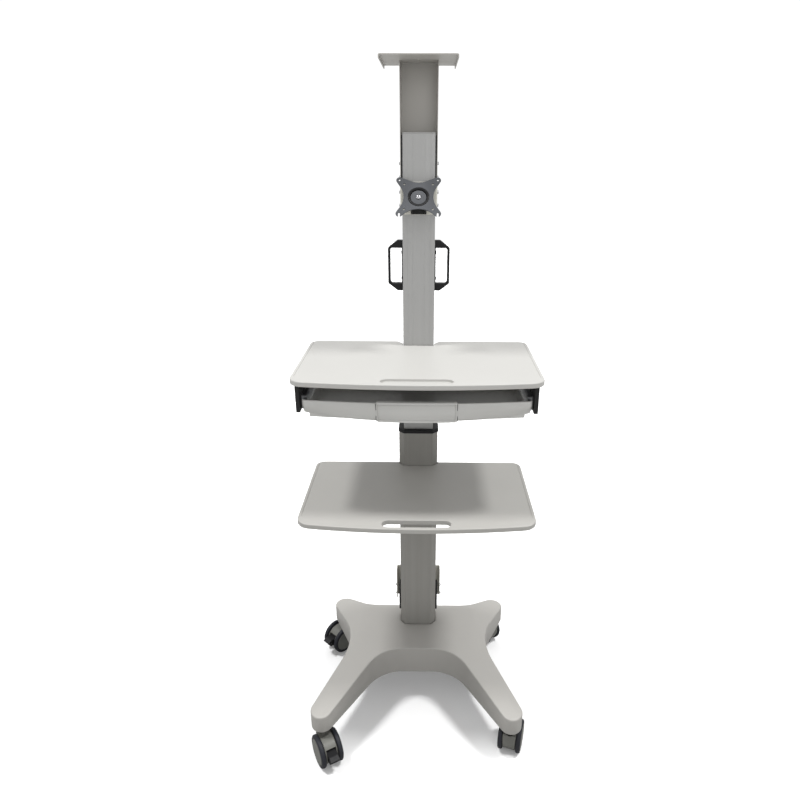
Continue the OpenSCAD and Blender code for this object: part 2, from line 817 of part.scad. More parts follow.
module top_plate() color([0.56, 0.55, 0.53]) {
  y0 = top_plate_y - top_plate_d / 2;
  difference() {
    block(-top_plate_w / 2, top_plate_w / 2, y0, y0 + top_plate_d, mast_top_z - top_sheet, mast_top_z);
    post(0, top_plate_y - top_hole_setback, mast_top_z - top_sheet - 1, mast_top_z + 1, top_hole_r);
  }
  both_sides() block(top_plate_w / 2 - top_sheet, top_plate_w / 2, y0, y0 + top_plate_d,
    mast_top_z - plate_edge_h, mast_top_z - top_sheet);
}

// ---- rear bracket ----

module rear_bracket() color([0.78, 0.78, 0.76]) {
  y1 = column_y + outer_d / 2;
  block(-rear_half_w, rear_half_w, y1, y1 + rear_sheet, rear_bottom_z, rear_top_z);
  both_sides() block(rear_half_w - rear_sheet, rear_half_w, y1 - rear_flange, y1, rear_bottom_z, rear_top_z);
}

module rear_pads() color([0.06, 0.06, 0.06]) both_sides()
  block(outer_w / 2, outer_w / 2 + pad_t, column_y - pad_front, column_y + outer_d / 2 - outer_chamfer,
    rear_bottom_z - pad_drop, rear_top_z - pad_top);

module rear_bracket_screws() color([0.12, 0.12, 0.12]) both_sides()
  for (z = rear_screw_z) cross_rod(rear_half_w, rear_half_w + rear_head_t, rear_screw_y, z, rear_screw_r);

// ---- casters ----

// Puts a caster's own frame, swivel axis at the origin and axle towards +X, under tip i
module at_caster(i, swivel) {
  translate([tips[i][0], tips[i][1], 0]) rotate([0, 0, swivel]) children();
}

// Turns a side profile drawn in X and Z into a body centred on Y
module side_body(w) {
  rotate([90, 0, 0]) translate([0, 0, -w / 2]) linear_extrude(w) children();
}

module fork_profile() difference() {
  union() {
    translate([trail, wheel_r]) circle(r = fork_r, $fn = fine);
    translate([-fork_boss_r, hood_bottom_z]) square([trail + fork_boss_r, hood_top_z - hood_bottom_z]);
  }
  translate([-through, -through]) square([2 * through, through + fork_cut_z]);
}

module caster_fork() {
  difference() {
    union() {
      side_body(fork_w) fork_profile();
      post(0, 0, fork_boss_z, fork_top_z, fork_boss_r);
    }
    post(0, 0, stem_bottom_z - 2, fork_top_z + 1, stem_r + stem_gap);
    block(pedal_x - pedal_room, trail + fork_r + 1, -pedal_slot, pedal_slot, pedal_slot_z0, pedal_slot_z1);
  }
  side = fork_w / 2 + wheel_gap + wheel_w - axle_end;
  translate([trail, side, wheel_r]) rotate([90, 0, 0]) cylinder(r = axle_r, h = 2 * side, $fn = medium);
  translate([pedal_x, fork_w / 2, pedal_z]) rotate([90, 0, 0])
    cylinder(r = pedal_pin_r, h = fork_w, $fn = medium);
}

// One wheel, turned from its own section: tyre, rim step and hub cap
module caster_wheel(side) {
  y0 = fork_w / 2 + wheel_gap;
  translate([trail, side * y0, wheel_r]) rotate([side > 0 ? -90 : 90, 0, 0]) rotate_extrude($fn = fine)
    polygon([
      [axle_r + axle_gap, 0], [wheel_r - tread_round, 0], [wheel_r - 1, tread_step], [wheel_r, tread_round],
      [wheel_r, wheel_w - tread_round], [wheel_r - 1, wheel_w - tread_step],
      [wheel_r - tread_round, wheel_w - rim_t], [cap_r + 1, wheel_w - rim_t],
      [cap_r + 1, wheel_w - cap_step], [cap_r, wheel_w - cap_step], [cap_r, wheel_w], [0, wheel_w],
      [0, wheel_w - axle_end + cap_gap],
      [axle_r + axle_gap, wheel_w - axle_end + cap_gap]
    ]);
}

module caster_pedal() difference() {
  union() {
    side_body(pedal_w) translate([pedal_x, pedal_z]) circle(r = pedal_hub_r, $fn = medium);
    side_body(pedal_w) polygon(pedal_side);
  }
  side_body(pedal_w + 2) translate([pedal_x, pedal_z]) circle(r = pedal_pin_r + pedal_pin_gap, $fn = medium);
}

fork_grey = [0.43, 0.43, 0.41];
tyre_grey = [0.14, 0.14, 0.16];
pedal_black = [0.04, 0.04, 0.04];

module fork_front_left() color(fork_grey) at_caster(0, swivel_fl) caster_fork();
module wheel_front_left_a() color(tyre_grey) at_caster(0, swivel_fl) caster_wheel(1);
module wheel_front_left_b() color(tyre_grey) at_caster(0, swivel_fl) caster_wheel(-1);
module pedal_front_left() color(pedal_black) at_caster(0, swivel_fl) caster_pedal();

module fork_front_right() color(fork_grey) at_caster(1, swivel_fr) caster_fork();
module wheel_front_right_a() color(tyre_grey) at_caster(1, swivel_fr) caster_wheel(1);
module wheel_front_right_b() color(tyre_grey) at_caster(1, swivel_fr) caster_wheel(-1);
module pedal_front_right() color(pedal_black) at_caster(1, swivel_fr) caster_pedal();

module fork_rear_left() color(fork_grey) at_caster(2, swivel_rl) caster_fork();
module wheel_rear_left_a() color(tyre_grey) at_caster(2, swivel_rl) caster_wheel(1);
module wheel_rear_left_b() color(tyre_grey) at_caster(2, swivel_rl) caster_wheel(-1);
module pedal_rear_left() color(pedal_black) at_caster(2, swivel_rl) caster_pedal();

module fork_rear_right() color(fork_grey) at_caster(3, swivel_rr) caster_fork();
module wheel_rear_right_a() color(tyre_grey) at_caster(3, swivel_rr) caster_wheel(1);
module wheel_rear_right_b() color(tyre_grey) at_caster(3, swivel_rr) caster_wheel(-1);
module pedal_rear_right() color(pedal_black) at_caster(3, swivel_rr) caster_pedal();

base_shell();
base_plate();
base_bolts();
column_foot();
outer_column();
column_collar();
upper_guide();
gas_cylinder();
lower_shelf();
shelf_bracket();
shelf_screws();
rear_bracket();
rear_bracket_screws();
rear_pads();
caster_stems();
inner_column();
column_cap();
lower_guide();
gas_rod();
rod_block();
worktop();
worktop_bracket();
worktop_screws();
rail_bracket_left();
rail_bracket_right();
fixed_rails();
moving_rails();
drawer_tray();
drawer_handle();
handle_left();
handle_right();
handle_screws();
monitor_clamp();
tilt_bracket();
tilt_pin();
tilt_knuckle();
pivot_disc();
vesa_plate();
mast_channel();
mast_screws();
top_plate();
fork_front_left();
wheel_front_left_a();
wheel_front_left_b();
pedal_front_left();
fork_front_right();
wheel_front_right_a();
wheel_front_right_b();
pedal_front_right();
fork_rear_left();
wheel_rear_left_a();
wheel_rear_left_b();
pedal_rear_left();
fork_rear_right();
wheel_rear_right_a();
wheel_rear_right_b();
pedal_rear_right();
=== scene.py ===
# %% [markdown]
# # Mobile workstation cart
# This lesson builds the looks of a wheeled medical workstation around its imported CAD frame.
# The frame says where every part sits and what it moves with, so each piece made here takes its place
# from the box of the CAD node it stands for. Lengths are written in millimetres and turned to metres once.

# %% Load the frame
import json
import math
import bpy
import bmesh
import numpy as np
from mathutils import Matrix, Vector
from mathutils.geometry import delaunay_2d_cdt


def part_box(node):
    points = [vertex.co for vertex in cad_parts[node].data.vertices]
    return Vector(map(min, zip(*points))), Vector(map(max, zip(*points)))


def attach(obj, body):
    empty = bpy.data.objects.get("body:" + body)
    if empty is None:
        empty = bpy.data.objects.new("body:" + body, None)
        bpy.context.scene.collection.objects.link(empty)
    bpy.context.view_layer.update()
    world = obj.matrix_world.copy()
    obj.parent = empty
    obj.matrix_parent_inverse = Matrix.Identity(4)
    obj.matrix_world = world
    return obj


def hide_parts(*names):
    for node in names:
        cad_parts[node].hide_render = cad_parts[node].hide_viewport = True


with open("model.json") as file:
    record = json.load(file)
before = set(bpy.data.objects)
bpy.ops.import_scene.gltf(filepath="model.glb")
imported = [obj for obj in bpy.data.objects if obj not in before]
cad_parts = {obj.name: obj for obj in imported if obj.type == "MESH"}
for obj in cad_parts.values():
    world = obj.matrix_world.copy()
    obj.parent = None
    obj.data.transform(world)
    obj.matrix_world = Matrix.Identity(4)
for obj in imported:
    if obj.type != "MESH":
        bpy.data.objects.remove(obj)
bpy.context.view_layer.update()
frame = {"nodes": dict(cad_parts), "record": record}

MM = 0.001

# %% [markdown]
# ## Camera
# The cart stands taller than a person's chest, so it is seen from about head height, a little down.
# A fairly wide lens keeps the whole mast in view. The lens is also shifted a hair sideways, which moves
# the cart across the frame without turning the camera.

# %% Camera
CAMERA_PLACE = (0.024, -1.664, 1.777)
CAMERA_PITCH, CAMERA_ROLL, CAMERA_YAW = -21.7, -0.15, 0.685
LENS_MM, SENSOR_MM, SIDE_SHIFT = 27.9, 36, -0.025
camera_data = bpy.data.cameras.new("camera")
camera_data.lens = LENS_MM
camera_data.sensor_width = SENSOR_MM
camera_data.shift_x = SIDE_SHIFT
camera = bpy.data.objects.new("camera", camera_data)
camera.location = CAMERA_PLACE
camera.rotation_euler = [math.radians(a) for a in (90 + CAMERA_PITCH, CAMERA_ROLL, CAMERA_YAW)]
bpy.context.scene.collection.objects.link(camera)
bpy.context.scene.camera = camera
print("camera at", CAMERA_PLACE, "lens", LENS_MM)

# %% [markdown]
# ## Mesh helpers
# Most of the cart is sheet, board and extrusion: shapes that are an outline carried along a straight line.
# One helper joins a stack of closed outlines into a skin. Small steps between the first and last outlines
# round the edges, which is what lets an edge catch the light as a real one does.

# %% Outlines
def rounded(points, radii, steps=5):
    """The outline with each corner turned into an arc; radii is one number or one per corner."""
    out, n = [], len(points)
    radii = [radii] * n if isinstance(radii, (int, float)) else radii
    for i, r in enumerate(radii):
        p, a, b = Vector(points[i]), Vector(points[i - 1]), Vector(points[(i + 1) % n])
        u, v = (a - p).normalized(), (b - p).normalized()
        half = math.acos(max(-1, min(1, u.dot(v)))) / 2
        reach = min(r / math.tan(half), (a - p).length * 0.49, (b - p).length * 0.49)
        r = reach * math.tan(half)
        centre = p + (u + v).normalized() * (r / math.sin(half))
        start, end = p + u * reach - centre, p + v * reach - centre
        turn = start.angle_signed(end)
        out += [tuple(centre + Matrix.Rotation(-turn * k / steps, 2) @ start) for k in range(steps + 1)]
    return out


def inset(points, d):
    """The closed anticlockwise outline moved inwards by d."""
    p = np.array(points, float)
    ahead, behind = np.roll(p, -1, 0) - p, p - np.roll(p, 1, 0)
    ahead /= np.linalg.norm(ahead, axis=1)[:, None] + 1e-12
    behind /= np.linalg.norm(behind, axis=1)[:, None] + 1e-12
    na, nb = np.stack([-ahead[:, 1], ahead[:, 0]], 1), np.stack([-behind[:, 1], behind[:, 0]], 1)
    share = 1 + (na * nb).sum(1)
    return [tuple(q) for q in p + (na + nb) / np.maximum(share, 0.3)[:, None] * d]


def arc(x, y, r, start, end, steps=20):
    angles = [math.radians(start + (end - start) * i / steps) for i in range(steps + 1)]
    return [(x + r * math.cos(a), y + r * math.sin(a)) for a in angles]


def cut_rect(w, d, c):
    return [(w / 2 - c, -d / 2), (w / 2, -d / 2 + c), (w / 2, d / 2 - c), (w / 2 - c, d / 2),
            (c - w / 2, d / 2), (-w / 2, d / 2 - c), (-w / 2, c - d / 2), (c - w / 2, -d / 2)]


def rect(x0, x1, y0, y1):
    return [(x0, y0), (x1, y0), (x1, y1), (x0, y1)]


def moved(points, dx, dy):
    return [(x + dx, y + dy) for x, y in points]


def box_mm(node):
    """Lowest and highest corner of a CAD node, in millimetres."""
    lo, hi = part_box(node)
    return [round(v / MM, 2) for v in (*lo, *hi)]


print("worktop box", box_mm("worktop"))

# %% Skins
def mesh_object(name, verts, faces):
    mesh = bpy.data.meshes.new(name)
    mesh.from_pydata([tuple(c * MM for c in v) for v in verts], [], faces)
    tidy = bmesh.new()
    tidy.from_mesh(mesh)
    bmesh.ops.remove_doubles(tidy, verts=tidy.verts, dist=1e-6)
    bmesh.ops.dissolve_degenerate(tidy, edges=tidy.edges, dist=1e-7)
    bmesh.ops.recalc_face_normals(tidy, faces=tidy.faces)
    tidy.to_mesh(mesh)
    tidy.free()
    obj = bpy.data.objects.new(name, mesh)
    bpy.context.scene.collection.objects.link(obj)
    return obj


def rings_faces(rings, first, caps=True, around=False):
    """Faces between rings of equal length whose first vertex has the number first."""
    n, faces = len(rings[0]), []
    spans = len(rings) if around else len(rings) - 1
    for i in range(spans):
        a, b = first + i * n, first + (i + 1) % len(rings) * n
        faces += [(a + k, a + (k + 1) % n, b + (k + 1) % n, b + k) for k in range(n)]
    if caps and not around:
        faces.append(tuple(first + k for k in reversed(range(n))))
        faces.append(tuple(first + (len(rings) - 1) * n + k for k in range(n)))
    return faces


def skin(name, *stacks, caps=True, around=False):
    """One object from one or more stacks of rings."""
    verts, faces = [], []
    for rings in stacks:
        faces += rings_faces(rings, len(verts), caps, around)
        verts += [v for ring in rings for v in ring]
    return mesh_object(name, verts, faces)


def slab_rings(outline, z0, z1, r=1.0, steps=3, r0=None):
    """Rings of a board with rounded edges: radius r on top and r0 below."""
    r0 = r if r0 is None else r0
    rings = []
    for z, radius, way in ((z0, r0, 1), (z1, r, -1)):
        part = []
        for k in range(steps + 1):
            t = math.pi / 2 * k / steps
            edge = inset(outline, radius * (1 - math.sin(t)))
            part.append([(x, y, z + way * radius * (1 - math.cos(t))) for x, y in edge])
        rings += part if way > 0 else part[::-1]
    return rings


def lathe_rings(profile, steps=64):
    """Rings about Z of a profile of (radius, height)."""
    turn = [2 * math.pi * k / steps for k in range(steps)]
    return [[(r * math.cos(a), r * math.sin(a), h) for a in turn] for r, h in profile]


def placed(rings, matrix):
    return [[tuple(matrix @ Vector(v)) for v in ring] for ring in rings]


def frame_at(origin, x_axis, z_axis):
    """A matrix whose X and Z lie along the two given directions."""
    z = Vector(z_axis).normalized()
    y = z.cross(Vector(x_axis)).normalized()
    m = Matrix((y.cross(z), y, z)).transposed().to_4x4()
    return Matrix.Translation(Vector(origin)) @ m


def boolean(obj, cutters, how="DIFFERENCE"):
    """Cuts or joins other solids, then bakes the result into the mesh."""
    for c in cutters:
        m = obj.modifiers.new("cut", "BOOLEAN")
        m.operation, m.object, m.solver = how, c, "EXACT"
    bpy.context.view_layer.update()
    done = bpy.data.meshes.new_from_object(obj.evaluated_get(bpy.context.evaluated_depsgraph_get()))
    obj.modifiers.clear()
    obj.data = done
    for c in cutters:
        bpy.data.objects.remove(c)
    return obj


print("rings in a rounded slab", len(slab_rings(rect(0, 9, 0, 9), 0, 5)))

# %% [markdown]
# ## Effects shared by the finishes
# A finish looks real through things that change over the surface: a fine grain, a slow drift in tone,
# edges rubbed a little lighter, and dust with painted shade in the corners. Each effect is one node group, so
# every material can use it with its own numbers. The groups read the piece's own coordinates, so a finish
# stays put when the piece moves.

# %% Node helpers
def new_group(name, inputs, outputs):
    tree = bpy.data.node_groups.new(name, "ShaderNodeTree")
    for label, kind, value in inputs:
        tree.interface.new_socket(label, in_out="INPUT", socket_type=kind).default_value = value
    for label, kind in outputs:
        tree.interface.new_socket(label, in_out="OUTPUT", socket_type=kind)
    return tree, tree.nodes.new("NodeGroupInput"), tree.nodes.new("NodeGroupOutput")


def add(tree, kind, links=(), **values):
    """A node of that kind with attributes set and (socket, source) pairs linked or filled."""
    node = tree.nodes.new("ShaderNode" + kind)
    for key, value in values.items():
        setattr(node, key, value)
    for socket, source in dict(links).items():
        if isinstance(source, bpy.types.NodeSocket):
            tree.links.new(source, node.inputs[socket])
        else:
            node.inputs[socket].default_value = source
    return node


def place_node(tree, stretch):
    """The piece's own coordinates, stretched by a vector socket or value."""
    where = add(tree, "TexCoord")
    scaled = add(tree, "VectorMath", {0: where.outputs["Object"], 1: stretch}, operation="MULTIPLY")
    return scaled.outputs[0]


F, V = "NodeSocketFloat", "NodeSocketVector"

# %% Grain
grain, gi, go = new_group("moulded_grain", [("Scale", F, 900.0), ("Stretch", V, (1, 1, 1))],
                          [("Grain", F), ("Height", F)])
where = place_node(grain, gi.outputs["Stretch"])
pebble = add(grain, "TexVoronoi", {"Vector": where, "Scale": gi.outputs["Scale"]}, feature="SMOOTH_F1")
speck = add(grain, "TexNoise", {"Vector": where, "Scale": gi.outputs["Scale"], "Detail": 3.0})
both = add(grain, "Math", {0: pebble.outputs["Distance"], 1: speck.outputs["Fac"]}, operation="ADD")
grain.links.new(speck.outputs["Fac"], go.inputs["Grain"])
grain.links.new(both.outputs[0], go.inputs["Height"])
print("group", grain.name)

# %% Drift in tone
drift, gi, go = new_group("tone_drift", [("Scale", F, 6.0), ("Stretch", V, (1, 1, 1))], [("Mask", F)])
where = place_node(drift, gi.outputs["Stretch"])
cloud = add(drift, "TexNoise", {"Vector": where, "Scale": gi.outputs["Scale"], "Detail": 4.0,
                                "Roughness": 0.55})
spread = add(drift, "MapRange", {0: cloud.outputs["Fac"], 1: 0.3, 2: 0.7})
drift.links.new(spread.outputs[0], go.inputs["Mask"])
print("group", drift.name)

# %% Edge wear
wear, gi, go = new_group("edge_wear", [("Reach", F, 0.0007), ("Amount", F, 0.5)], [("Mask", F)])
soft = add(wear, "Bevel", {"Radius": gi.outputs["Reach"]}, samples=4)
flat = add(wear, "NewGeometry")
same = add(wear, "VectorMath", {0: soft.outputs[0], 1: flat.outputs["Normal"]}, operation="DOT_PRODUCT")
turned = add(wear, "MapRange", {0: same.outputs["Value"], 1: 0.97, 2: 0.80})
broken = add(wear, "TexNoise", {"Vector": place_node(wear, (1, 1, 1)), "Scale": 140.0, "Detail": 5.0})
patchy = add(wear, "MapRange", {0: broken.outputs["Fac"], 1: 0.38, 2: 0.62})
rub = add(wear, "Math", {0: turned.outputs[0], 1: patchy.outputs[0]}, operation="MULTIPLY")
rub = add(wear, "Math", {0: rub.outputs[0], 1: gi.outputs["Amount"]}, operation="MULTIPLY")
wear.links.new(rub.outputs[0], go.inputs["Mask"])
print("group", wear.name)

# %% Dust and painted shade in corners
dust_and_shade, gi, go = new_group("corner_dust_and_shade", [("Reach", F, 0.02), ("Amount", F, 0.4)], [("Mask", F)])
# The occlusion mask darkens corners, creases and recesses: dust, together with painted shade where shade
# falls.
near = add(dust_and_shade, "AmbientOcclusion", {"Distance": gi.outputs["Reach"]}, samples=6)
shut = add(dust_and_shade, "MapRange", {0: near.outputs["AO"], 1: 0.75, 2: 0.2})
dust_and_shade_patches = add(dust_and_shade, "TexNoise", {"Vector": place_node(dust_and_shade, (1, 1, 1)), "Scale": 60.0, "Detail": 6.0})
dust_and_shade_mask = add(dust_and_shade, "Math", {0: shut.outputs[0], 1: dust_and_shade_patches.outputs["Fac"]}, operation="MULTIPLY")
dust_and_shade_mask = add(dust_and_shade, "Math", {0: dust_and_shade_mask.outputs[0], 1: gi.outputs["Amount"]}, operation="MULTIPLY")
dust_and_shade.links.new(dust_and_shade_mask.outputs[0], go.inputs["Mask"])
print("group", dust_and_shade.name)

# %% Fine scratches
scratch, gi, go = new_group("fine_scratches", [("Scale", F, 30.0), ("Amount", F, 0.5)], [("Mask", F)])
bend = add(scratch, "TexNoise", {"Vector": place_node(scratch, (1, 1, 1)), "Scale": 7.0, "Detail": 1.0})
where = add(scratch, "VectorMath", {0: place_node(scratch, (1.0, 5.0, 1.0)), 1: bend.outputs["Color"]},
            operation="ADD")
cracks = add(scratch, "TexVoronoi", {"Vector": where.outputs[0], "Scale": gi.outputs["Scale"]},
             feature="DISTANCE_TO_EDGE")
thin = add(scratch, "MapRange", {0: cracks.outputs["Distance"], 1: 0.008, 2: 0.0})
few = add(scratch, "TexNoise", {"Vector": place_node(scratch, (1, 1, 1)), "Scale": 11.0})
few = add(scratch, "MapRange", {0: few.outputs["Fac"], 1: 0.5, 2: 0.65})
mark = add(scratch, "Math", {0: thin.outputs[0], 1: few.outputs[0]}, operation="MULTIPLY")
mark = add(scratch, "Math", {0: mark.outputs[0], 1: gi.outputs["Amount"]}, operation="MULTIPLY")
scratch.links.new(mark.outputs[0], go.inputs["Mask"])
print("group", scratch.name)

# %% [markdown]
# ## A finish
# Every finish is the same chain: a base colour that drifts towards a second tone, dust and painted corner
# shade laid over it, edges rubbed towards a third tone, roughness that follows the grain, and a bump from the
# grain's height.
# The shader stays in the material, and its even values are set straight on its own sockets.

# %% Finish builder
def use(tree, group, **values):
    node = tree.nodes.new("ShaderNodeGroup")
    node.node_tree = group
    for key, value in values.items():
        node.inputs[key.replace("_", " ")].default_value = value
    return node


def blend_colour(tree, mask, a, b):
    mix = add(tree, "Mix", data_type="RGBA")
    tree.links.new(mask, mix.inputs[0])
    for socket, value in ((6, a), (7, b)):
        if isinstance(value, bpy.types.NodeSocket):
            tree.links.new(value, mix.inputs[socket])
        else:
            mix.inputs[socket].default_value = (*value, 1)
    return mix.outputs[2]


# Tone for dust and for painted shade, laid over corners and recesses by the occlusion mask.
DUST_AND_SHADE = (0.42, 0.40, 0.36)
finishes = {}


def finish(name, tone, second, rough, *, grain_scale=900.0, height=0.00003, stretch=(1, 1, 1),
           drift_scale=6.0, metal=0.0, coat=0.0, rub=None, rub_amount=0.35, dust_and_shade_amount=0.25,
           scratches=0.0, specular=0.5, spread=0.08):
    made = bpy.data.materials.new(name)
    made.use_nodes = True
    tree = made.node_tree
    shader = tree.nodes["Principled BSDF"]
    shader.inputs["Metallic"].default_value = metal
    shader.inputs["Coat Weight"].default_value = coat
    shader.inputs["Coat Roughness"].default_value = 0.25
    shader.inputs["Specular IOR Level"].default_value = specular
    tone_mask = use(tree, drift, Scale=drift_scale, Stretch=stretch).outputs["Mask"]
    colour = blend_colour(tree, tone_mask, tone, second)
    # Dust and painted shade: corners and recesses are darkened towards this tone.
    colour = blend_colour(tree, use(tree, dust_and_shade, Amount=dust_and_shade_amount).outputs["Mask"], colour, DUST_AND_SHADE)
    rubbed = use(tree, wear, Amount=rub_amount).outputs["Mask"]
    colour = blend_colour(tree, rubbed, colour, rub or tuple(min(1, c * 1.25 + 0.03) for c in tone))
    fine = use(tree, grain, Scale=grain_scale, Stretch=stretch)
    gloss = add(tree, "MapRange", {0: fine.outputs["Grain"], 1: 0.3, 2: 0.7, 3: rough - spread,
                                   4: rough + spread})
    lift = fine.outputs["Height"]
    if scratches:
        marks = use(tree, scratch, Amount=scratches).outputs["Mask"]
        colour = blend_colour(tree, marks, colour, tuple(min(1, c * 1.3 + 0.05) for c in tone))
        lift = add(tree, "Math", {0: lift, 1: marks}, operation="SUBTRACT").outputs[0]
    tree.links.new(colour, shader.inputs["Base Color"])
    tree.links.new(gloss.outputs[0], shader.inputs["Roughness"])
    bump = add(tree, "Bump", {"Height": lift, "Distance": height, "Strength": 1.0})
    tree.links.new(bump.outputs[0], shader.inputs["Normal"])
    finishes[name] = made


# %% [markdown]
# ## The cart's finishes
# The shells are warm grey moulded plastic with a fine matt grain. The columns are drawn aluminium: the
# lower one bronze grey, the upper one pale and satin, with die lines running up them. Brackets and handles
# are powder coated steel, which has the same pebbled skin at a coarser scale.

# %% Finishes by material slot
ALONG = (1.0, 1.0, 0.02)
finish("warm_grey_shell", (0.335, 0.325, 0.307), (0.318, 0.309, 0.291), 0.5, grain_scale=1100,
       scratches=0.08, drift_scale=4)
finish("shelf_grey", (0.35, 0.342, 0.324), (0.335, 0.328, 0.309), 0.5, grain_scale=1100, scratches=0.12)
# The worktop's high dust and shade amount paints shade into the pen recess and its other hollows.
finish("worktop_white", (0.43, 0.425, 0.407), (0.415, 0.41, 0.392), 0.46, grain_scale=1300,
       scratches=0.08, drift_scale=5, dust_and_shade_amount=0.6)
finish("dark_column", (0.27, 0.263, 0.246), (0.25, 0.244, 0.228), 0.42, grain_scale=1500, stretch=ALONG,
       metal=0.25, height=0.00005, drift_scale=60)
finish("light_column", (0.40, 0.40, 0.395), (0.38, 0.38, 0.375), 0.38, grain_scale=1500, stretch=ALONG,
       metal=0.35, height=0.00005, drift_scale=60)
finish("mast_grey", (0.44, 0.425, 0.398), (0.42, 0.406, 0.38), 0.45, grain_scale=700, height=0.00006)
finish("bracket_cream", (0.60, 0.59, 0.53), (0.575, 0.565, 0.505), 0.45, grain_scale=700, height=0.00006)
finish("plate_blue_grey", (0.082, 0.086, 0.094), (0.072, 0.076, 0.084), 0.55, grain_scale=900,
       height=0.00008, rub=(0.22, 0.23, 0.25), specular=0.25)
finish("black_steel", (0.012, 0.012, 0.012), (0.018, 0.018, 0.018), 0.5, grain_scale=800,
       height=0.00007, rub=(0.08, 0.08, 0.08), specular=0.25, dust_and_shade_amount=0.05)
finish("black_plastic", (0.008, 0.008, 0.009), (0.013, 0.013, 0.014), 0.5, rub=(0.06, 0.06, 0.06),
       specular=0.2, dust_and_shade_amount=0.04)
finish("guide_plastic", (0.72, 0.72, 0.69), (0.68, 0.68, 0.65), 0.5)
finish("spring_black", (0.02, 0.02, 0.022), (0.03, 0.03, 0.032), 0.25, coat=0.6, height=0.00001)
finish("polished_rod", (0.72, 0.73, 0.75), (0.66, 0.67, 0.69), 0.16, metal=1.0, stretch=(1, 1, 0.1),
       height=0.000005, spread=0.05)
finish("zinc_screw", (0.52, 0.52, 0.53), (0.44, 0.44, 0.46), 0.3, metal=1.0, height=0.00002,
       drift_scale=200)
finish("rail_zinc", (0.50, 0.51, 0.53), (0.44, 0.45, 0.47), 0.34, metal=1.0, height=0.00002,
       drift_scale=40, stretch=(1, 0.1, 1))
finish("caster_grey", (0.135, 0.135, 0.122), (0.122, 0.122, 0.11), 0.45, scratches=0.15, dust_and_shade_amount=0.15,
       specular=0.3)
finish("caster_tyre", (0.010, 0.011, 0.015), (0.016, 0.017, 0.022), 0.55, grain_scale=600,
       height=0.00006, rub=(0.06, 0.06, 0.065), dust_and_shade_amount=0.08, rub_amount=0.15, specular=0.25)
finish("drawer_silver", (0.50, 0.497, 0.48), (0.48, 0.477, 0.46), 0.36, grain_scale=1300, coat=0.1)
print("finishes", len(finishes))

# %% [markdown]
# ## Placing a piece
# A new piece names the finish it wears, the body it moves with, and the CAD node it stands for.
# Weighted normals keep the wide faces flat to the light while their rounded edges still turn.

# %% Piece helper
BODY = {n: b for b, ns in frame["record"]["behaviour"]["bodies"].items() for n in ns}


def smooth(obj, sharp=32, weighted=True):
    obj.data.polygons.foreach_set("use_smooth", [True] * len(obj.data.polygons))
    obj.data.set_sharp_from_angle(angle=math.radians(sharp))
    if weighted:
        m = obj.modifiers.new("weights", "WEIGHTED_NORMAL")
        m.keep_sharp, m.weight = True, 50
    return obj


def piece(obj, node, slot_name, material=None, stands=True, sharp=32, weighted=True):
    """Finishes obj, lets it ride on the node's body and, if stands, take the node's place."""
    smooth(obj, sharp, weighted)
    obj.data.materials.clear()
    obj.data.materials.append(finishes[material or slot_name])
    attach(obj, BODY[node])
    if stands:
        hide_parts(node)
    return obj

# %% [markdown]
# ## Base shell
# The real base is one moulded cover over a steel plate: a flat hub that slopes down along four legs to
# round tips, with softly rounded top edges. Its outline is an edge wrapped round ten circles, some outside
# and some inside. The top is the height of a roof stretched over the hub and the tips. Heights are blended
# a little where slopes meet, which gives the soft creases of a moulding.

# %% Base outline
TIP_R = 34
TIPS = [(-293, -240), (293, -240), (-281, 240), (281, 240)]
BASE_CIRCLES = [(-50, -158, 130, -1), (50, -158, 130, -1), (293, -240, TIP_R, 1), (434, 20, 200, -1),
                (281, 240, TIP_R, 1), (140, 272, 90, -1), (-140, 272, 90, -1), (-281, 240, TIP_R, 1),
                (-434, 20, 200, -1), (-293, -240, TIP_R, 1)]


def heading(a, b):
    away = math.hypot(b[0] - a[0], b[1] - a[1])
    return math.atan2(b[1] - a[1], b[0] - a[0]) - math.asin((b[3] * b[2] - a[3] * a[2]) / away)


def belt(circles, d=0.0, steps=20):
    """A closed edge that wraps round circles, moved in by d."""
    out, n = [], len(circles)
    for i, (x, y, r, side) in enumerate(circles):
        a, b = heading(circles[i - 1], circles[i]), heading(circles[i], circles[(i + 1) % n])
        by = (b - a) - 2 * math.pi * round((b - a) / (2 * math.pi))
        reach = r - side * d
        for k in range(steps + 1):
            h = a + by * k / steps
            out.append((x + side * reach * math.sin(h), y - side * reach * math.cos(h)))
    return out


print("base outline points", len(belt(BASE_CIRCLES)))

# %% Base roof
BASE_Z, TIP_TOP = 120.0, 181.0
HUB = [(168, -20, 222), (176, 150, 234), (-176, 150, 234), (-168, -20, 222)]
CREASE = 1.0
HUB_R, POST_SIDES = 24, 24


def roof_planes():
    hull = bmesh.new()
    posts = [(*corner, HUB_R) for corner in HUB] + [(*tip, TIP_TOP, TIP_R + 2) for tip in TIPS]
    for x, y, top, r in posts:
        for k in range(POST_SIDES):
            a = 2 * math.pi * k / POST_SIDES
            for z in (BASE_Z, top):
                hull.verts.new((x + r * math.cos(a), y + r * math.sin(a), z))
    bmesh.ops.convex_hull(hull, input=hull.verts)
    hull.normal_update()
    planes = {tuple(round(c, 5) for c in (-f.normal.x / f.normal.z, -f.normal.y / f.normal.z,
                                          f.normal.dot(f.verts[0].co) / f.normal.z))
              for f in hull.faces if f.normal.z > 0.05}
    hull.free()
    return np.array(sorted(planes))


PLANES = roof_planes()


def roof(points):
    """Height of the roof at each point, blended softly where its slopes meet."""
    p = np.array(points, float)
    z = p[:, :1] * PLANES[:, 0] + p[:, 1:2] * PLANES[:, 1] + PLANES[:, 2]
    low = z.min(axis=1, keepdims=True)
    return (low - CREASE * np.log(np.exp((low - z) / CREASE).sum(axis=1, keepdims=True)))[:, 0]


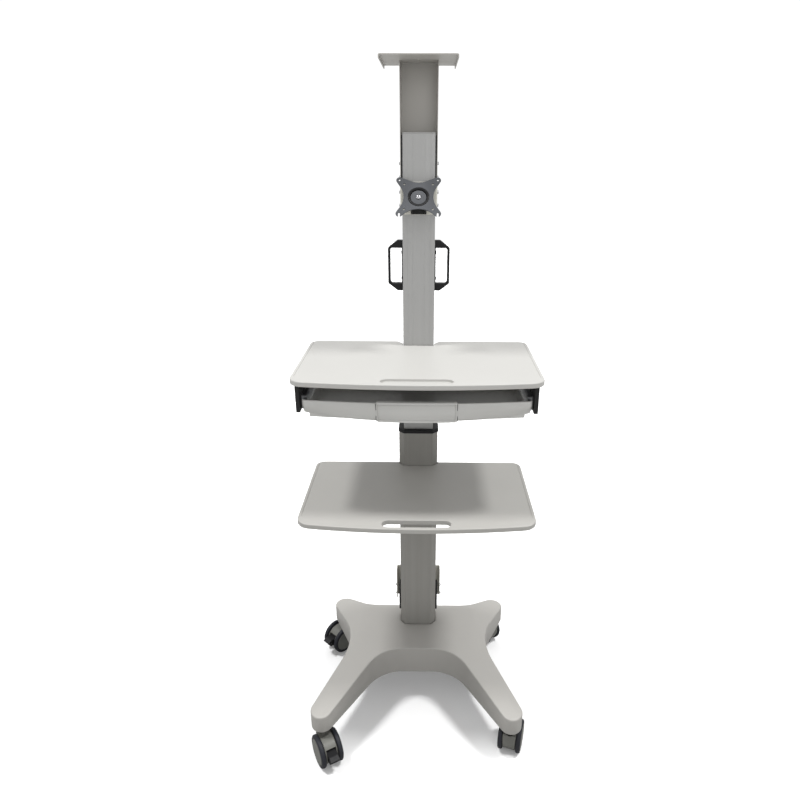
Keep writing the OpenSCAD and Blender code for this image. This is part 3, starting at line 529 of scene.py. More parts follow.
print("roof planes", len(PLANES))

# %% Fill between edges
GRID_X, GRID_Y, GRID_ROW = 360, 340, 0.866


def inside(points, outline):
    p, q = np.array(points, float), np.array(outline, float)
    hit = np.zeros(len(p), bool)
    for a, b in zip(q, np.roll(q, -1, 0)):
        if a[1] != b[1]:
            over = (a[1] > p[:, 1]) != (b[1] > p[:, 1])
            hit ^= over & (p[:, 0] < (b[0] - a[0]) * (p[:, 1] - a[1]) / (b[1] - a[1]) + a[0])
    return hit


def filled(outline, hole, step):
    """Triangles between an outline and a hole in it, on an even grid of that step."""
    edges = [(i, (i + 1) % len(outline)) for i in range(len(outline))]
    edges += [(len(outline) + i, len(outline) + (i + 1) % len(hole)) for i in range(len(hole))]
    xs = np.arange(-GRID_X, GRID_X, step)
    ys = np.arange(-GRID_Y, GRID_Y, step * GRID_ROW)
    grid = np.array([(x + (j % 2) * step / 2, y) for j, y in enumerate(ys) for x in xs])
    room, keep_off = inset(outline, step * 0.5), inset(hole, -step * 0.5)
    grid = grid[inside(grid, room) & ~inside(grid, keep_off)]
    verts = [Vector(p) for p in outline] + [Vector(p) for p in hole] + [Vector(p) for p in grid]
    points, _, tris, *_ = delaunay_2d_cdt(verts, edges, [], 0, 1e-5)
    middle = [sum((points[i] for i in t), Vector((0, 0))) / len(t) for t in tris]
    keep = inside(middle, outline) & ~inside(middle, hole)
    return [tuple(p) for p in points], [t for t, k in zip(tris, keep) if k]


COLUMN_Y = round((box_mm("outer_column")[1] + box_mm("outer_column")[4]) / 2, 2)
OPENING_W, OPENING_D, OPENING_CUT = 122.4, 76.4, 16.2
opening = moved(rounded(cut_rect(OPENING_W, OPENING_D, OPENING_CUT), 2.5), 0, COLUMN_Y)
print("column stands at y", COLUMN_Y)

# %% Base shell
EDGE_R, WALL, EDGE_STEPS = 4.0, 4.0, 6
TOP_GRID, UNDER_GRID, SKIRT = 8, 34, 5
verts, faces = [], []


def add_part(new_verts, new_faces):
    first = len(verts)
    verts.extend(new_verts)
    faces.extend(tuple(first + i for i in f) for f in new_faces)


def at_roof(outline, drop):
    return [(x, y, z - drop) for (x, y), z in zip(outline, roof(outline))]


outer = belt(BASE_CIRCLES)
rings = [[(x, y, BASE_Z + SKIRT) for x, y in belt(BASE_CIRCLES, WALL)],
         [(x, y, BASE_Z) for x, y in belt(BASE_CIRCLES, WALL - 0.8)],
         [(x, y, BASE_Z) for x, y in belt(BASE_CIRCLES, 1.2)],
         [(x, y, BASE_Z + 0.5) for x, y in belt(BASE_CIRCLES, 0.3)],
         [(x, y, BASE_Z + 1.5) for x, y in outer]]
for k in range(EDGE_STEPS + 1):
    t = math.pi / 2 * k / EDGE_STEPS
    rings.append(at_roof(belt(BASE_CIRCLES, EDGE_R * (1 - math.cos(t))), EDGE_R * (1 - math.sin(t))))
add_part([v for r in rings for v in r], rings_faces(rings, 0, caps=False))
lip = inset(opening, -1.6)
top_points, top_faces = filled(belt(BASE_CIRCLES, EDGE_R), lip, TOP_GRID)
add_part(at_roof(top_points, 0), top_faces)
throat = [at_roof(lip, 0), at_roof(inset(opening, -0.6), 0.4), at_roof(opening, 1.6), at_roof(opening, WALL)]
add_part([v for r in throat for v in r], rings_faces(throat, 0, caps=False))
under_points, under_faces = filled(belt(BASE_CIRCLES, WALL), opening, UNDER_GRID)
add_part(at_roof(under_points, WALL), under_faces)
inner_rim = belt(BASE_CIRCLES, WALL)
inner_wall = [[(x, y, BASE_Z + SKIRT) for x, y in inner_rim], at_roof(inner_rim, WALL)]
add_part([v for r in inner_wall for v in r], rings_faces(inner_wall, 0, caps=False))
shell = piece(mesh_object("base_cover", verts, faces), "base_shell", "warm_grey_shell",
              sharp=50, weighted=False)
print("base cover faces", len(shell.data.polygons))

# %% [markdown]
# ## Worktop and lower shelf
# Both are moulded boards with a bowed front, large front corners and a fine line moulded just inside each
# side edge. The worktop has a pen recess near its front edge, the shelf a hand slot that goes right
# through. Each is a rounded slab with the recess, lines and rear notch cut out of it, as a mould would.

# %% Board outline
BOARD_BOW, FRONT_R, REAR_R, LINE_IN = 24, 40, 26, 9.5
SLOT_W, SLOT_D, SLOT_IN = 184, 32, 28


def bow_radius(w, bow):
    return (w * w / 4 + bow * bow) / (2 * bow)


def tray_edge(w, d, bow, rf, rr):
    r = bow_radius(w, bow)
    x = w / 2 - rf
    y = r - math.sqrt((r - rf) ** 2 - x * x)
    t = math.degrees(math.atan2(y - r, x))
    return (arc(0, r, r, -180 - t, t) + arc(x, y, rf, t, 0)[1:] + arc(w / 2 - rr, d - rr, rr, 0, 90)
            + arc(rr - w / 2, d - rr, rr, 90, 180) + arc(-x, y, rf, 180, 180 - t)[:-1])


def stadium(w, d, ends=1.0, steps=12):
    """A slot outline; ends above 1 draws its ends out into longer tapers."""
    x, r = w / 2 - d / 2 * ends, d / 2
    right = [(x + r * ends * math.cos(a), r * math.sin(a))
             for a in np.linspace(-math.pi / 2, math.pi / 2, steps)]
    left = [(-px, -py) for px, py in right]
    return right + left


def tool(rings):
    return skin("tool", rings)


def tray_top(name, node, slot_name, cuts):
    x0, y0, z0, x1, y1, z1 = box_mm(node)
    edge = moved(tray_edge(x1 - x0, y1 - y0, BOARD_BOW, FRONT_R, REAR_R), 0, y0)
    board = skin(name, slab_rings(edge, z0, z1, 3.0, 5, 1.2))
    lines = []
    for side in (-1, 1):
        x = side * (x1 - LINE_IN)
        groove = rounded(rect(x - 0.9, x + 0.9, y0 + 62, y1 - 20), 0.85, 3)
        lines.append(tool([[(px, py, z1 - 1.1) for px, py in inset(groove, 0.5)],
                           [(px, py, z1 - 0.4) for px, py in groove],
                           [(px, py, z1 + 1) for px, py in inset(groove, -0.8)]]))
    return piece(boolean(board, lines + cuts), node, slot_name, sharp=30)


def slot_rings(w, d, y, levels, ends=1.0):
    """Rings of a slot cutter: levels are (height, how much wider)."""
    return [[(px, py + y, z) for px, py in stadium(w + 2 * g, d + 2 * g, ends)] for z, g in levels]


# %% Worktop
x0, y0, z0, x1, y1, z1 = box_mm("worktop")
pen_recess = tool(slot_rings(SLOT_W, SLOT_D, y0 + SLOT_IN,
                             [(z1 - 7.6, -4), (z1 - 7, -2), (z1 - 5.6, -0.7), (z1 - 1, -0.2), (z1, 0.5),
                              (z1 + 2, 2.4)], 1.25))
NOTCH, NOTCH_MOUTH = 46, 68
notch = rounded([(-NOTCH, COLUMN_Y - 24), (NOTCH, COLUMN_Y - 24), (NOTCH + 0.5, y1 - 22),
                 (NOTCH_MOUTH, y1 + 6), (-NOTCH_MOUTH, y1 + 6), (-NOTCH - 0.5, y1 - 22)],
                [2, 2, 12, 1, 1, 12], 6)
rear_notch = tool([[(px, py, z) for px, py in inset(notch, d)]
                   for z, d in ((z0 - 2, -2), (z0 + 1, 0), (z1 - 2.5, 0), (z1 - 0.8, -0.7), (z1 + 1, -2.5))])
tray_top("worktop_board", "worktop", "worktop_white", [pen_recess, rear_notch])

# %% Lower shelf
x0, y0, z0, x1, y1, z1 = box_mm("lower_shelf")
hand_slot = tool(slot_rings(SLOT_W, SLOT_D, y0 + SLOT_IN,
                            [(z0 - 2, 2.2), (z0 + 0.8, 0), (z1 - 3, 0), (z1 - 1.2, 0.5), (z1 - 0.2, 1.8),
                             (z1 + 1, 3.6)]))
section = rounded([(-62, y1 + 9), (-62, COLUMN_Y - 20.4), (-45.6, COLUMN_Y - 38), (45.6, COLUMN_Y - 38),
                   (62, COLUMN_Y - 20.4), (62, y1 + 9)], 3)
shelf_notch = tool([[(px, py, z) for px, py in inset(section, d)]
                    for z, d in ((z0 - 2, -2), (z0 + 1, 0), (z1 - 2, 0), (z1 - 0.6, -0.8), (z1 + 1, -2.6))])
tray_top("shelf_board", "lower_shelf", "shelf_grey", [hand_slot, shelf_notch])
print("boards built")

# %% [markdown]
# ## Columns
# Both columns are extrusions, the same section all the way up. The lower one is a wide box with cut
# corners; the upper one is narrower and has four fine lines running up its front and back.
# A tube is a ring of outlines that closes on itself: outside, top, inside and bottom.

# %% Lower column
def tube_rings(outer, inner, z0, z1, r=0.6):
    return [[(x, y, z0 + r) for x, y in outer], [(x, y, z1 - r) for x, y in outer],
            [(x, y, z1) for x, y in inset(outer, r)], [(x, y, z1) for x, y in inset(inner, -0.3)],
            [(x, y, z1 - 0.3) for x, y in inner], [(x, y, z0 + 0.3) for x, y in inner],
            [(x, y, z0) for x, y in inset(inner, -0.3)], [(x, y, z0) for x, y in inset(outer, r)]]


x0, y0, z0, x1, y1, z1 = box_mm("outer_column")
COLUMN_WALL, OUTER_CUT, INNER_CUT, CUT_R = 4, 16, 13.6, 1.8
inner_w, inner_d = x1 - x0 - 2 * COLUMN_WALL, y1 - y0 - 2 * COLUMN_WALL
outside = moved(rounded(cut_rect(x1 - x0, y1 - y0, OUTER_CUT), CUT_R), 0, COLUMN_Y)
inner_edge = moved(rounded(cut_rect(inner_w, inner_d, INNER_CUT), CUT_R), 0, COLUMN_Y)
piece(skin("lower_column_tube", tube_rings(outside, inner_edge, z0, z1), caps=False, around=True),
      "outer_column", "dark_column")

# %% Collar
x0, y0, z0, x1, y1, z1 = box_mm("column_collar")
outside = moved(rounded(cut_rect(x1 - x0, y1 - y0, 17.2), 2.5), 0, COLUMN_Y)
hole = moved(rounded(cut_rect(91.2, 47.2, 3), 0.8), 0, COLUMN_Y)
skirt = moved(rounded(cut_rect(120.2, 74.2, 16), 1.8), 0, COLUMN_Y)
collar = []
for z, d in ((z0 + 0.6, 0), (z1 - 3.6, 0), (z1 - 2, 0.5), (z1 - 0.7, 1.6), (z1, 3.6)):
    collar.append([(x, y, z) for x, y in inset(outside, d)])
collar += [[(x, y, z) for x, y in loop] for loop, z in ((inset(hole, -1.2), z1), (hole, z1 - 1),
           (hole, z1 - 4.6), (inset(skirt, 0.2), z1 - 4.8), (skirt, z0 + 0.4), (inset(outside, 0.5), z0))]
piece(skin("column_top_collar", collar, caps=False, around=True), "column_collar", "black_plastic")

# %% Upper column
x0, y0, z0, x1, y1, z1 = box_mm("inner_column")
GROOVES = (-31, -16, 16, 31)
TUBE_R, TUBE_WALL = 3, 3


def grooved_side(y, way):
    line = []
    for g in GROOVES if way > 0 else GROOVES[::-1]:
        for dx, dy in ((-0.9, 0), (-0.7, 0.1), (-0.4, 0.35), (0.4, 0.35), (0.7, 0.1), (0.9, 0)):
            line.append((g + way * dx, y + way * dy))
    return line


half_w, half_d = (x1 - x0) / 2, (y1 - y0) / 2
corners = {}
for sx in (-1, 1):
    for sy in (-1, 1):
        start = {(-1, -1): 180, (1, -1): 270, (1, 1): 0, (-1, 1): 90}[(sx, sy)]
        corners[(sx, sy)] = arc(sx * (half_w - TUBE_R), sy * (half_d - TUBE_R), TUBE_R, start, start + 90, 5)
section = (corners[(-1, -1)] + grooved_side(-half_d, 1) + corners[(1, -1)] + corners[(1, 1)]
           + grooved_side(half_d, -1) + corners[(-1, 1)])
section = moved(section, 0, COLUMN_Y)
bore = [(max(TUBE_WALL - half_w, min(half_w - TUBE_WALL, x)),
         max(COLUMN_Y + TUBE_WALL - half_d, min(COLUMN_Y + half_d - TUBE_WALL, y))) for x, y in section]
upper = [[(x, y, z0) for x, y in section], [(x, y, z1) for x, y in section],
         [(x, y, z1) for x, y in bore], [(x, y, z0) for x, y in bore]]
piece(skin("upper_column_tube", upper, caps=False, around=True), "inner_column", "light_column", sharp=40)

# %% Column cap
x0, y0, z0, x1, y1, z1 = box_mm("column_cap")
lid = moved(rounded(rect(x0 + 0.3, x1 - 0.3, y0 - COLUMN_Y + 0.3, y1 - COLUMN_Y - 0.3), 3), 0, COLUMN_Y)
plug = inset(lid, 3.4)
piece(skin("upper_column_lid", slab_rings(lid, z1 - 3, z1, 0.9), slab_rings(plug, z0, z1 - 3.2, 0.5)),
      "column_cap", "black_plastic", "light_column")
print("columns built")

# %% [markdown]
# ## Keyboard drawer
# The drawer is a shallow open tray with a deep bull-nosed front. Its top edge bows gently, and the face
# leans back under it towards the corners, so the bottom edge bows more. The front is built as stations
# across its width: at each one a closed profile, and the profiles joined side to side.

# %% Drawer front
x0, y0, z0, x1, y1, z1 = box_mm("drawer_tray")
HALF, TOP_BOW, LOW_BOW, CORNER, UPSWEEP = x1, 21.0, 42.0, 8.0, 7.0
NOSE, FACE_STEPS = 6.5, 12


def front_y(x, bow):
    return y0 + bow * (x / HALF) ** 2


def drawer_profile(x):
    turn = max(0.0, min(1.0, (abs(x) - (HALF - CORNER)) / CORNER))
    back = CORNER * (1 - math.sqrt(max(0.0, 1 - turn * turn)))
    top, low = front_y(x, TOP_BOW) + back, front_y(x, LOW_BOW) + 3 + 0.7 * back
    foot = z0 + UPSWEEP * (x / HALF) ** 4
    face = []
    for k in range(FACE_STEPS + 1):
        t = k / FACE_STEPS
        nose = NOSE * math.sin(math.pi * t ** 0.75) * (1 - 0.2 * t)
        y = low + (top - low) * (0.5 - 0.5 * math.cos(math.pi * min(1.0, t * 1.08))) - nose
        face.append((y if t > 0 else y + 2.5, foot + 0.8 + (z1 - foot - 3.4) * t))
    lip = [(top + 0.4, z1 - 1.2), (top + 1.6, z1 - 0.2), (top + 3.2, z1), (top + 5.4, z1),
           (top + 6.6, z1 - 0.9), (top + 7, z1 - 2.4)]
    back_side = [(top + 8, z1 - 16), (max(top + 12, low + 9), foot + 5), (max(top + 13, low + 11), foot)]
    return [(x, y, z) for y, z in [(low + 5, foot), *face, *lip, *back_side]]


stations = [HALF - CORNER + CORNER * math.sin(math.pi / 2 * k / 6) for k in range(7)]
middle = list(np.linspace(-(HALF - CORNER), HALF - CORNER, 41))
stations = [-s for s in stations[:0:-1]] + middle + stations[1:]
piece(skin("drawer_front", [drawer_profile(x) for x in stations]), "drawer_tray", "worktop_white",
      "drawer_silver", sharp=38)

# %% Drawer tray
def box_edge(half, set_back, rear, r):
    """The box in plan: its front edge follows the bow of the drawer front."""
    front = [(x, front_y(x, TOP_BOW) + set_back) for x in np.linspace(-half, half, 21)]
    return rounded([*front, (half, rear), (-half, rear)], [r] + [2] * 19 + [r, r, r], 3)


BOX_HALF, BOX_WALL, BOX_DEEP = 279, 3, 40
box_outer = box_edge(BOX_HALF, 16, y1, 5)
box_inner = box_edge(BOX_HALF - BOX_WALL, 20, y1 - BOX_WALL, 3)
RIM = z0 + BOX_DEEP
cup = [[(x, y, z0 + 0.6) for x, y in inset(box_outer, 0.6)], [(x, y, z0 + 1.4) for x, y in box_outer],
       [(x, y, RIM - 1) for x, y in box_outer], [(x, y, RIM) for x, y in inset(box_outer, 0.9)],
       [(x, y, RIM) for x, y in inset(box_inner, -0.9)], [(x, y, RIM - 1) for x, y in box_inner],
       [(x, y, z0 + 6) for x, y in box_inner], [(x, y, z0 + 4) for x, y in inset(box_inner, 0.7)],
       [(x, y, z0 + 3) for x, y in inset(box_inner, 2.6)]]
piece(skin("drawer_box", cup), "drawer_tray", "worktop_white", "drawer_silver", stands=False)
print("drawer depth", round(y1 - y0))

# %% Drawer grip
hx0, hy0, hz0, hx1, hy1, hz1 = box_mm("drawer_handle")
PLAIN = [(3.6, hz0), (-4, hz0), (-5.6, hz0 + 1), (-6.4, hz0 + 5), (-6.6, hz0 + 12), (-6.6, hz0 + 20),
         (-6.4, hz0 + 30), (-6, hz0 + 38), (-5.6, hz0 + 44), (-5.2, hz0 + 47), (-5, hz0 + 50),
         (-4.6, hz1 - 2), (-3.6, hz1 - 0.8), (-1, hz1 - 0.2), (3.6, hz1 - 0.2)]
SHAPED = [(3.6, hz0), (-6.6, hz0), (-8.8, hz0 + 0.9), (-9, hz0 + 3.2), (-7.6, hz0 + 4.6), (-3.4, hz0 + 7),
          (-2.8, hz0 + 16), (-2.6, hz0 + 28), (-2.4, hz0 + 38), (0.6, hz0 + 43.5), (-4.4, hz0 + 46),
          (-8.6, hz1 - 4.6), (-9, hz1 - 1.6), (-7.4, hz1), (3.6, hz1)]


def grip_ring(x, shape, tuck=0.0):
    """A station of the grip; its foot follows the face, which leans back towards the corners."""
    ring = []
    for dy, z in shape:
        t = (z - hz0) / (hz1 - hz0)
        face = front_y(x, LOW_BOW) * (1 - t) + front_y(x, TOP_BOW) * t
        ring.append((x, face + dy + (tuck if dy < 0 else 0), z))
    return ring


inner = list(np.linspace(-(hx1 - 4.5), hx1 - 4.5, 21))
grip = [grip_ring(-hx1, PLAIN, 1.2), grip_ring(-hx1 + 1, PLAIN), grip_ring(-hx1 + 3, PLAIN)]
grip += [grip_ring(x, SHAPED) for x in inner]
grip += [grip_ring(hx1 - 3, PLAIN), grip_ring(hx1 - 1, PLAIN), grip_ring(hx1, PLAIN, 1.2)]
piece(skin("drawer_grip", grip), "drawer_handle", "worktop_white", "drawer_silver", sharp=35)
# Thin black sheets at each end of the grip stand in for the shaded gaps there: painted shadow.
for side in (-1, 1):
    grip_gap_shade = [[(x, y, z) for x, y, z in (
        (side * (hx1 + w), front_y(hx1, LOW_BOW * (1 - t) + TOP_BOW * t) - 3.9 + d, hz0 + 2 + t * 46)
        for t in np.linspace(0, 1, 9))] for w, d in ((0, 0), (1.4, 0), (1.4, 4), (0, 4))]
    piece(skin(f"grip_gap_shadow_{'left' if side < 0 else 'right'}", grip_gap_shade, around=True, caps=False),
          "drawer_handle", "black_plastic", stands=False)
print("grip height", round(hz1 - hz0))

# %% [markdown]
# ## Bow handles
# Two black bows of flat bar let a nurse steer the cart. Each is a closed frame: an outer outline and an
# inner one with the same corners, joined front, outside, back and inside.

# %% Bow handles
def frame_rings(outer, inner, y0, y1, r=1.2):
    """A flat frame between two outlines drawn in X and Z."""
    loops = [(outer, r, y0), (outer, 0.35 * r, y0 + 0.35 * r), (outer, 0, y0 + r), (outer, 0, y1 - r),
             (outer, 0.35 * r, y1 - 0.35 * r), (outer, r, y1), (inner, -r, y1), (inner, 0, y1 - r),
             (inner, 0, y0 + r), (inner, -r, y0)]
    return [[(x, y, z) for x, z in inset(loop, d)] for loop, d, y in loops]


x0, y0, z0, x1, y1, z1 = box_mm("handle_right")
ARM, FOOT, GRIP_W, INNER_CORNER = 21, 15, 6.5, 4.5
bow_out = rounded([(x0, z0), (x0 + FOOT, z0), (x1, z0 + ARM), (x1, z1 - ARM), (x0 + FOOT, z1), (x0, z1)],
                  [1, 6, 6, 6, 6, 1], 6)
bend_x, bend_z = x1 - GRIP_W - INNER_CORNER, ARM + INNER_CORNER
bow_in = rounded([(x0 + 3, z0 + ARM), (bend_x, z0 + ARM), (x1 - GRIP_W, z0 + bend_z),
                  (x1 - GRIP_W, z1 - bend_z), (bend_x, z1 - ARM), (x0 + 3, z1 - ARM)], [1, 3, 3, 3, 3, 1], 6)
bow = frame_rings(bow_out, bow_in, y0, y1, 1.6)
piece(skin("steering_bow_right", bow, around=True, caps=False), "handle_right", "black_plastic", sharp=40)
bow = [[(-x, y, z) for x, y, z in ring] for ring in bow]
piece(skin("steering_bow_left", bow, around=True, caps=False), "handle_left", "black_plastic", sharp=40)

# %% [markdown]
# ## Screws
# The screws that show are button heads with a hex socket. A head is turned from a short profile, and its
# last rings change from round to six-sided to sink the socket.

# %% Screw heads
def hex_ring(r, h, steps=24):
    out = []
    for k in range(steps):
        a = 2 * math.pi * k / steps
        reach = r * math.cos(math.pi / 6) / math.cos((a % (math.pi / 3)) - math.pi / 6)
        out.append((reach * math.cos(a), reach * math.sin(a), h))
    return out


def screw_rings(origin, z_axis, r, h):
    head = lathe_rings([(r * 0.9, 0), (r, h * 0.12), (r, h * 0.55), (r * 0.9, h * 0.82), (r * 0.72, h),
                        (r * 0.56, h)], 24)
    head += [hex_ring(r * 0.5, h), hex_ring(r * 0.48, h * 0.9), hex_ring(r * 0.46, h * 0.35)]
    side = (0, 1, 0) if abs(z_axis[1]) < 0.9 else (1, 0, 0)
    return placed(head, frame_at(origin, side, z_axis))


def side_screws(name, node, slot_name, x, places, r, h):
    """Mirrored screws whose heads sit at x and point outwards."""
    stacks = [screw_rings((s * x, y, z), (s, 0, 0), r, h) for s in (-1, 1) for y, z in places]
    return piece(skin(name, *stacks), node, slot_name, sharp=30)


x0, y0, z0, x1, y1, z1 = box_mm("handle_screws")
side_screws("bow_screws", "handle_screws", "black_plastic", x1 - 3, [(COLUMN_Y, z0 + 5), (COLUMN_Y, z1 - 5)],
            4.4, 1.6)
x0, y0, z0, x1, y1, z1 = box_mm("rear_bracket_screws")
side_screws("rear_bracket_bolts", "rear_bracket_screws", "zinc_screw", x1 - 4,
            [((y0 + y1) / 2, z0 + 4.5), ((y0 + y1) / 2, z1 - 4.5)], 4.5, 4)
mast = box_mm("mast_channel")
x0, y0, z0, x1, y1, z1 = box_mm("mast_screws")
MAST_BOLT_Z, CLAMP_BOLT_Z = (1717, 1752), (1645, 1679)
stacks = []
for s in (-1, 1):
    for z in MAST_BOLT_Z:
        stacks.append(screw_rings((s * (mast[3] - 0.2), (y0 + y1) / 2, z), (s, 0, 0), 4.5, 3.7))
    for z in CLAMP_BOLT_Z:
        stacks.append(screw_rings((s * (x1 - 4.2), (y0 + y1) / 2, z), (s, 0, 0), 5, 4))
piece(skin("mast_bolts", *stacks), "mast_screws", "zinc_screw", sharp=30)
for node, drop, half in (("shelf_screws", 52, 64), ("worktop_screws", 56, 49)):
    x0, y0, z0, x1, y1, z1 = box_mm(node)
    stacks = [screw_rings((x, y, z1), (0, 0, -1), 5, 3) for x in (-96, 96)
              for y in (COLUMN_Y - 128, COLUMN_Y - 60)]
    stacks += [screw_rings((s * half, COLUMN_Y, z1 - down), (s, 0, 0), 5, 3)
               for s in (-1, 1) for down in (14, drop - 14)]
    piece(skin(node.replace("screws", "bolts"), *stacks), node, "zinc_screw", sharp=30)
print("screws built")

# %% [markdown]
# ## Monitor mount
# A pale steel clamp grips the upper column, two ears carry a tilting knuckle, and the knuckle carries a
# pressed plate with the usual hole patterns for a screen. The plate's middle is dished: a black cup with a
# grey disc and a bright screw at its bottom.

# %% Plate frame
pin = box_mm("tilt_pin")
PIN_Y, PIN_Z = (pin[1] + pin[4]) / 2, (pin[2] + pin[5]) / 2
LEAN, PLATE_OUT = math.radians(38), 30
OUT = (0, -math.cos(LEAN), math.sin(LEAN))
plate_centre = Vector((0, PIN_Y, PIN_Z)) + Vector(OUT) * PLATE_OUT
ON_PLATE = frame_at(plate_centre, (1, 0, 0), OUT)
print("plate centre", [round(c, 1) for c in plate_centre])

# %% Screen plate
PLATE_CIRCLES = [(0, -93, 56.5, -1), (50, -50, 9, 1), (93, 0, 54, -1), (50, 50, 9, 1), (0, 93, 50, -1),
                 (-50, 50, 9, 1), (-93, 0, 54, -1), (-50, -50, 9, 1)]
T, HOLE_R, NEAR_HOLE, FAR_HOLE = 2.5, 2.6, 37.5, 50


def hole_tool(x, y, r):
    rings = lathe_rings([(r + 1, -0.6), (r, 0.4), (r, T - 0.5), (r + 0.9, T + 0.5)], 24)
    return tool(placed([[(px + x, py + y, h) for px, py, h in ring] for ring in rings], ON_PLATE))


holes = [hole_tool(sx * out, sy * out, HOLE_R)
         for out in (NEAR_HOLE, FAR_HOLE) for sx in (-1, 1) for sy in (-1, 1)]
for x in (-FAR_HOLE, FAR_HOLE):
    notch = rect(x - HOLE_R, x + HOLE_R, -80, -FAR_HOLE)
    holes.append(tool(placed([[(px, py, h) for px, py in notch] for h in (-1, T + 1)], ON_PLATE)))
holes.append(tool(placed(lathe_rings([(28, -1), (28, T - 0.8), (29.2, T + 0.6)], 72), ON_PLATE)))
screen_plate = skin("screen_plate", placed(slab_rings(belt(PLATE_CIRCLES, 0, 12), 0, T, 0.7), ON_PLATE))
piece(boolean(screen_plate, holes), "vesa_plate", "plate_blue_grey", sharp=30)

# %% Cup, disc and centre screw
cup = lathe_rings([(21.6, -3.6), (27.6, -3.6), (27.6, T - 0.4), (27.1, T + 0.3), (25.4, T + 0.3), (23, T - 1),
                   (21.6, -1.6)], 72)
neck = lathe_rings([(11, -30), (11, -12), (13, -8), (22, -3.8), (22, -3)], 48)
barrel = lathe_rings([(13.2, -15.6), (14, -14.8), (14, 14.8), (13.2, 15.6)], 48)
barrel = placed(barrel, frame_at((0, PIN_Y, PIN_Z), (0, 1, 0), (1, 0, 0)))
knuckle = skin("tilt_head_casting", placed(neck, ON_PLATE), barrel)
piece(knuckle, "tilt_knuckle", "black_plastic", sharp=35)
ring = skin("dish_ring", placed(cup, ON_PLATE), around=True, caps=False)
piece(ring, "tilt_knuckle", "black_plastic", stands=False, sharp=35)
disc = lathe_rings([(20.8, -3), (21, -1.6), (20.6, -0.6), (19.6, -0.1), (8.5, 0.2), (8.5, -0.3),
                    (0.01, -0.3)], 72)
piece(skin("dish_disc", placed(disc, ON_PLATE)), "pivot_disc", "plate_blue_grey", sharp=35)
centre_screw = screw_rings(ON_PLATE @ Vector((0, 0, -0.4)), OUT, 6, 3.2)
piece(skin("dish_screw", centre_screw), "pivot_disc", "zinc_screw", stands=False, sharp=30)

# %% Tilt ears and pin
x0, y0, z0, x1, y1, z1 = box_mm("tilt_bracket")
EAR_R, EAR_DROP = 13, 29
backing = rounded(rect(x0, x1, z0 - 5, z1), 4)
stacks = [[[(x, y, z) for x, z in inset(backing, d)] for y, d in
           ((y1, 0.5), (y1 - 0.5, 0), (y1 - 4, 0), (y1 - 4.6, 0.3), (y1 - 5, 1))]]
for s in (-1, 1):
    ear = [(y1 - 4.5, PIN_Z - EAR_DROP), (y1 - 4.5, PIN_Z + EAR_R)] + [
        (PIN_Y - EAR_R * math.sin(a), PIN_Z + EAR_R * math.cos(a)) for a in np.linspace(0, math.pi, 17)]
    ear = ear[::-1]
    edges = [(16 * s, 0.6), (16.6 * s, 0), (20.4 * s, 0), (21 * s, 0.6)]
    stacks.append([[(x, y, z) for y, z in inset(ear, d)] for x, d in edges])
piece(skin("tilt_ears", *stacks), "tilt_bracket", "black_steel", sharp=35)
rod = placed(lathe_rings([(4.9, -21), (4.9, 21)], 32), frame_at((0, PIN_Y, PIN_Z), (0, 1, 0), (1, 0, 0)))
stacks = [rod] + [screw_rings((s * 21, PIN_Y, PIN_Z), (s, 0, 0), 8, 4) for s in (-1, 1)]
piece(skin("tilt_bolt", *stacks), "tilt_pin", "zinc_screw", sharp=30)

# %% Clamp round the column
x0, y0, z0, x1, y1, z1 = box_mm("monitor_clamp")
wrap_out = [(-20, y1), (x0, y1), (x0, y0), (x1, y0), (x1, y1), (20, y1)]
wrap_in = [(20, y1 - 5), (x1 - 5, y1 - 5), (x1 - 5, y0 + 5), (x0 + 5, y0 + 5), (x0 + 5, y1 - 5),
           (-20, y1 - 5)]
clamp_edge = rounded(wrap_out + wrap_in, [1, 5, 5, 5, 5, 1, 1, 1.5, 1.5, 1.5, 1.5, 1], 5)
piece(skin("screen_clamp", slab_rings(clamp_edge, z0, z1, 0.7)), "monitor_clamp", "bracket_cream", sharp=30)
print("monitor mount built")

# %% [markdown]
# ## Mast and top plate
# The mast is folded sheet: a back with two sides, open to the front, and the plate on top has its two side
# edges folded down. Folded sheet always has a small radius at each bend, so both outlines have one.

# %% Mast channel
x0, y0, z0, x1, y1, z1 = mast
SHEET = 2.0
fold = rounded([(x0, y1), (x0, y0), (x0 + SHEET, y0), (x0 + SHEET, y1 - SHEET), (x1 - SHEET, y1 - SHEET),
                (x1 - SHEET, y0), (x1, y0), (x1, y1)], [4, 0.6, 0.6, 2, 2, 0.6, 0.6, 4], 5)
piece(skin("mast_fold", slab_rings(fold, z0, z1, 0.4)), "mast_channel", "mast_grey", sharp=35)
# Black sheets fill the narrow deep gaps between the mast's sides and the column: painted shadow, as those
# gaps lie in deep shade.
GAP_SHADOW_IN, GAP_SHADOW_OUT = 45.05, x1 - SHEET - 0.1
gap_shadow_sheets = []
for low, high in ((-GAP_SHADOW_OUT, -GAP_SHADOW_IN), (GAP_SHADOW_IN, GAP_SHADOW_OUT)):
    gap_shadow_outline = rounded(rect(low, high, y0 + 1.5, y0 + 40), 0.4)
    gap_shadow_sheets.append(slab_rings(gap_shadow_outline, z0 + 4, box_mm("inner_column")[5] - 4, 0.3))
piece(skin("mast_gap_painted_shadow", *gap_shadow_sheets), "mast_channel", "black_plastic", stands=False)

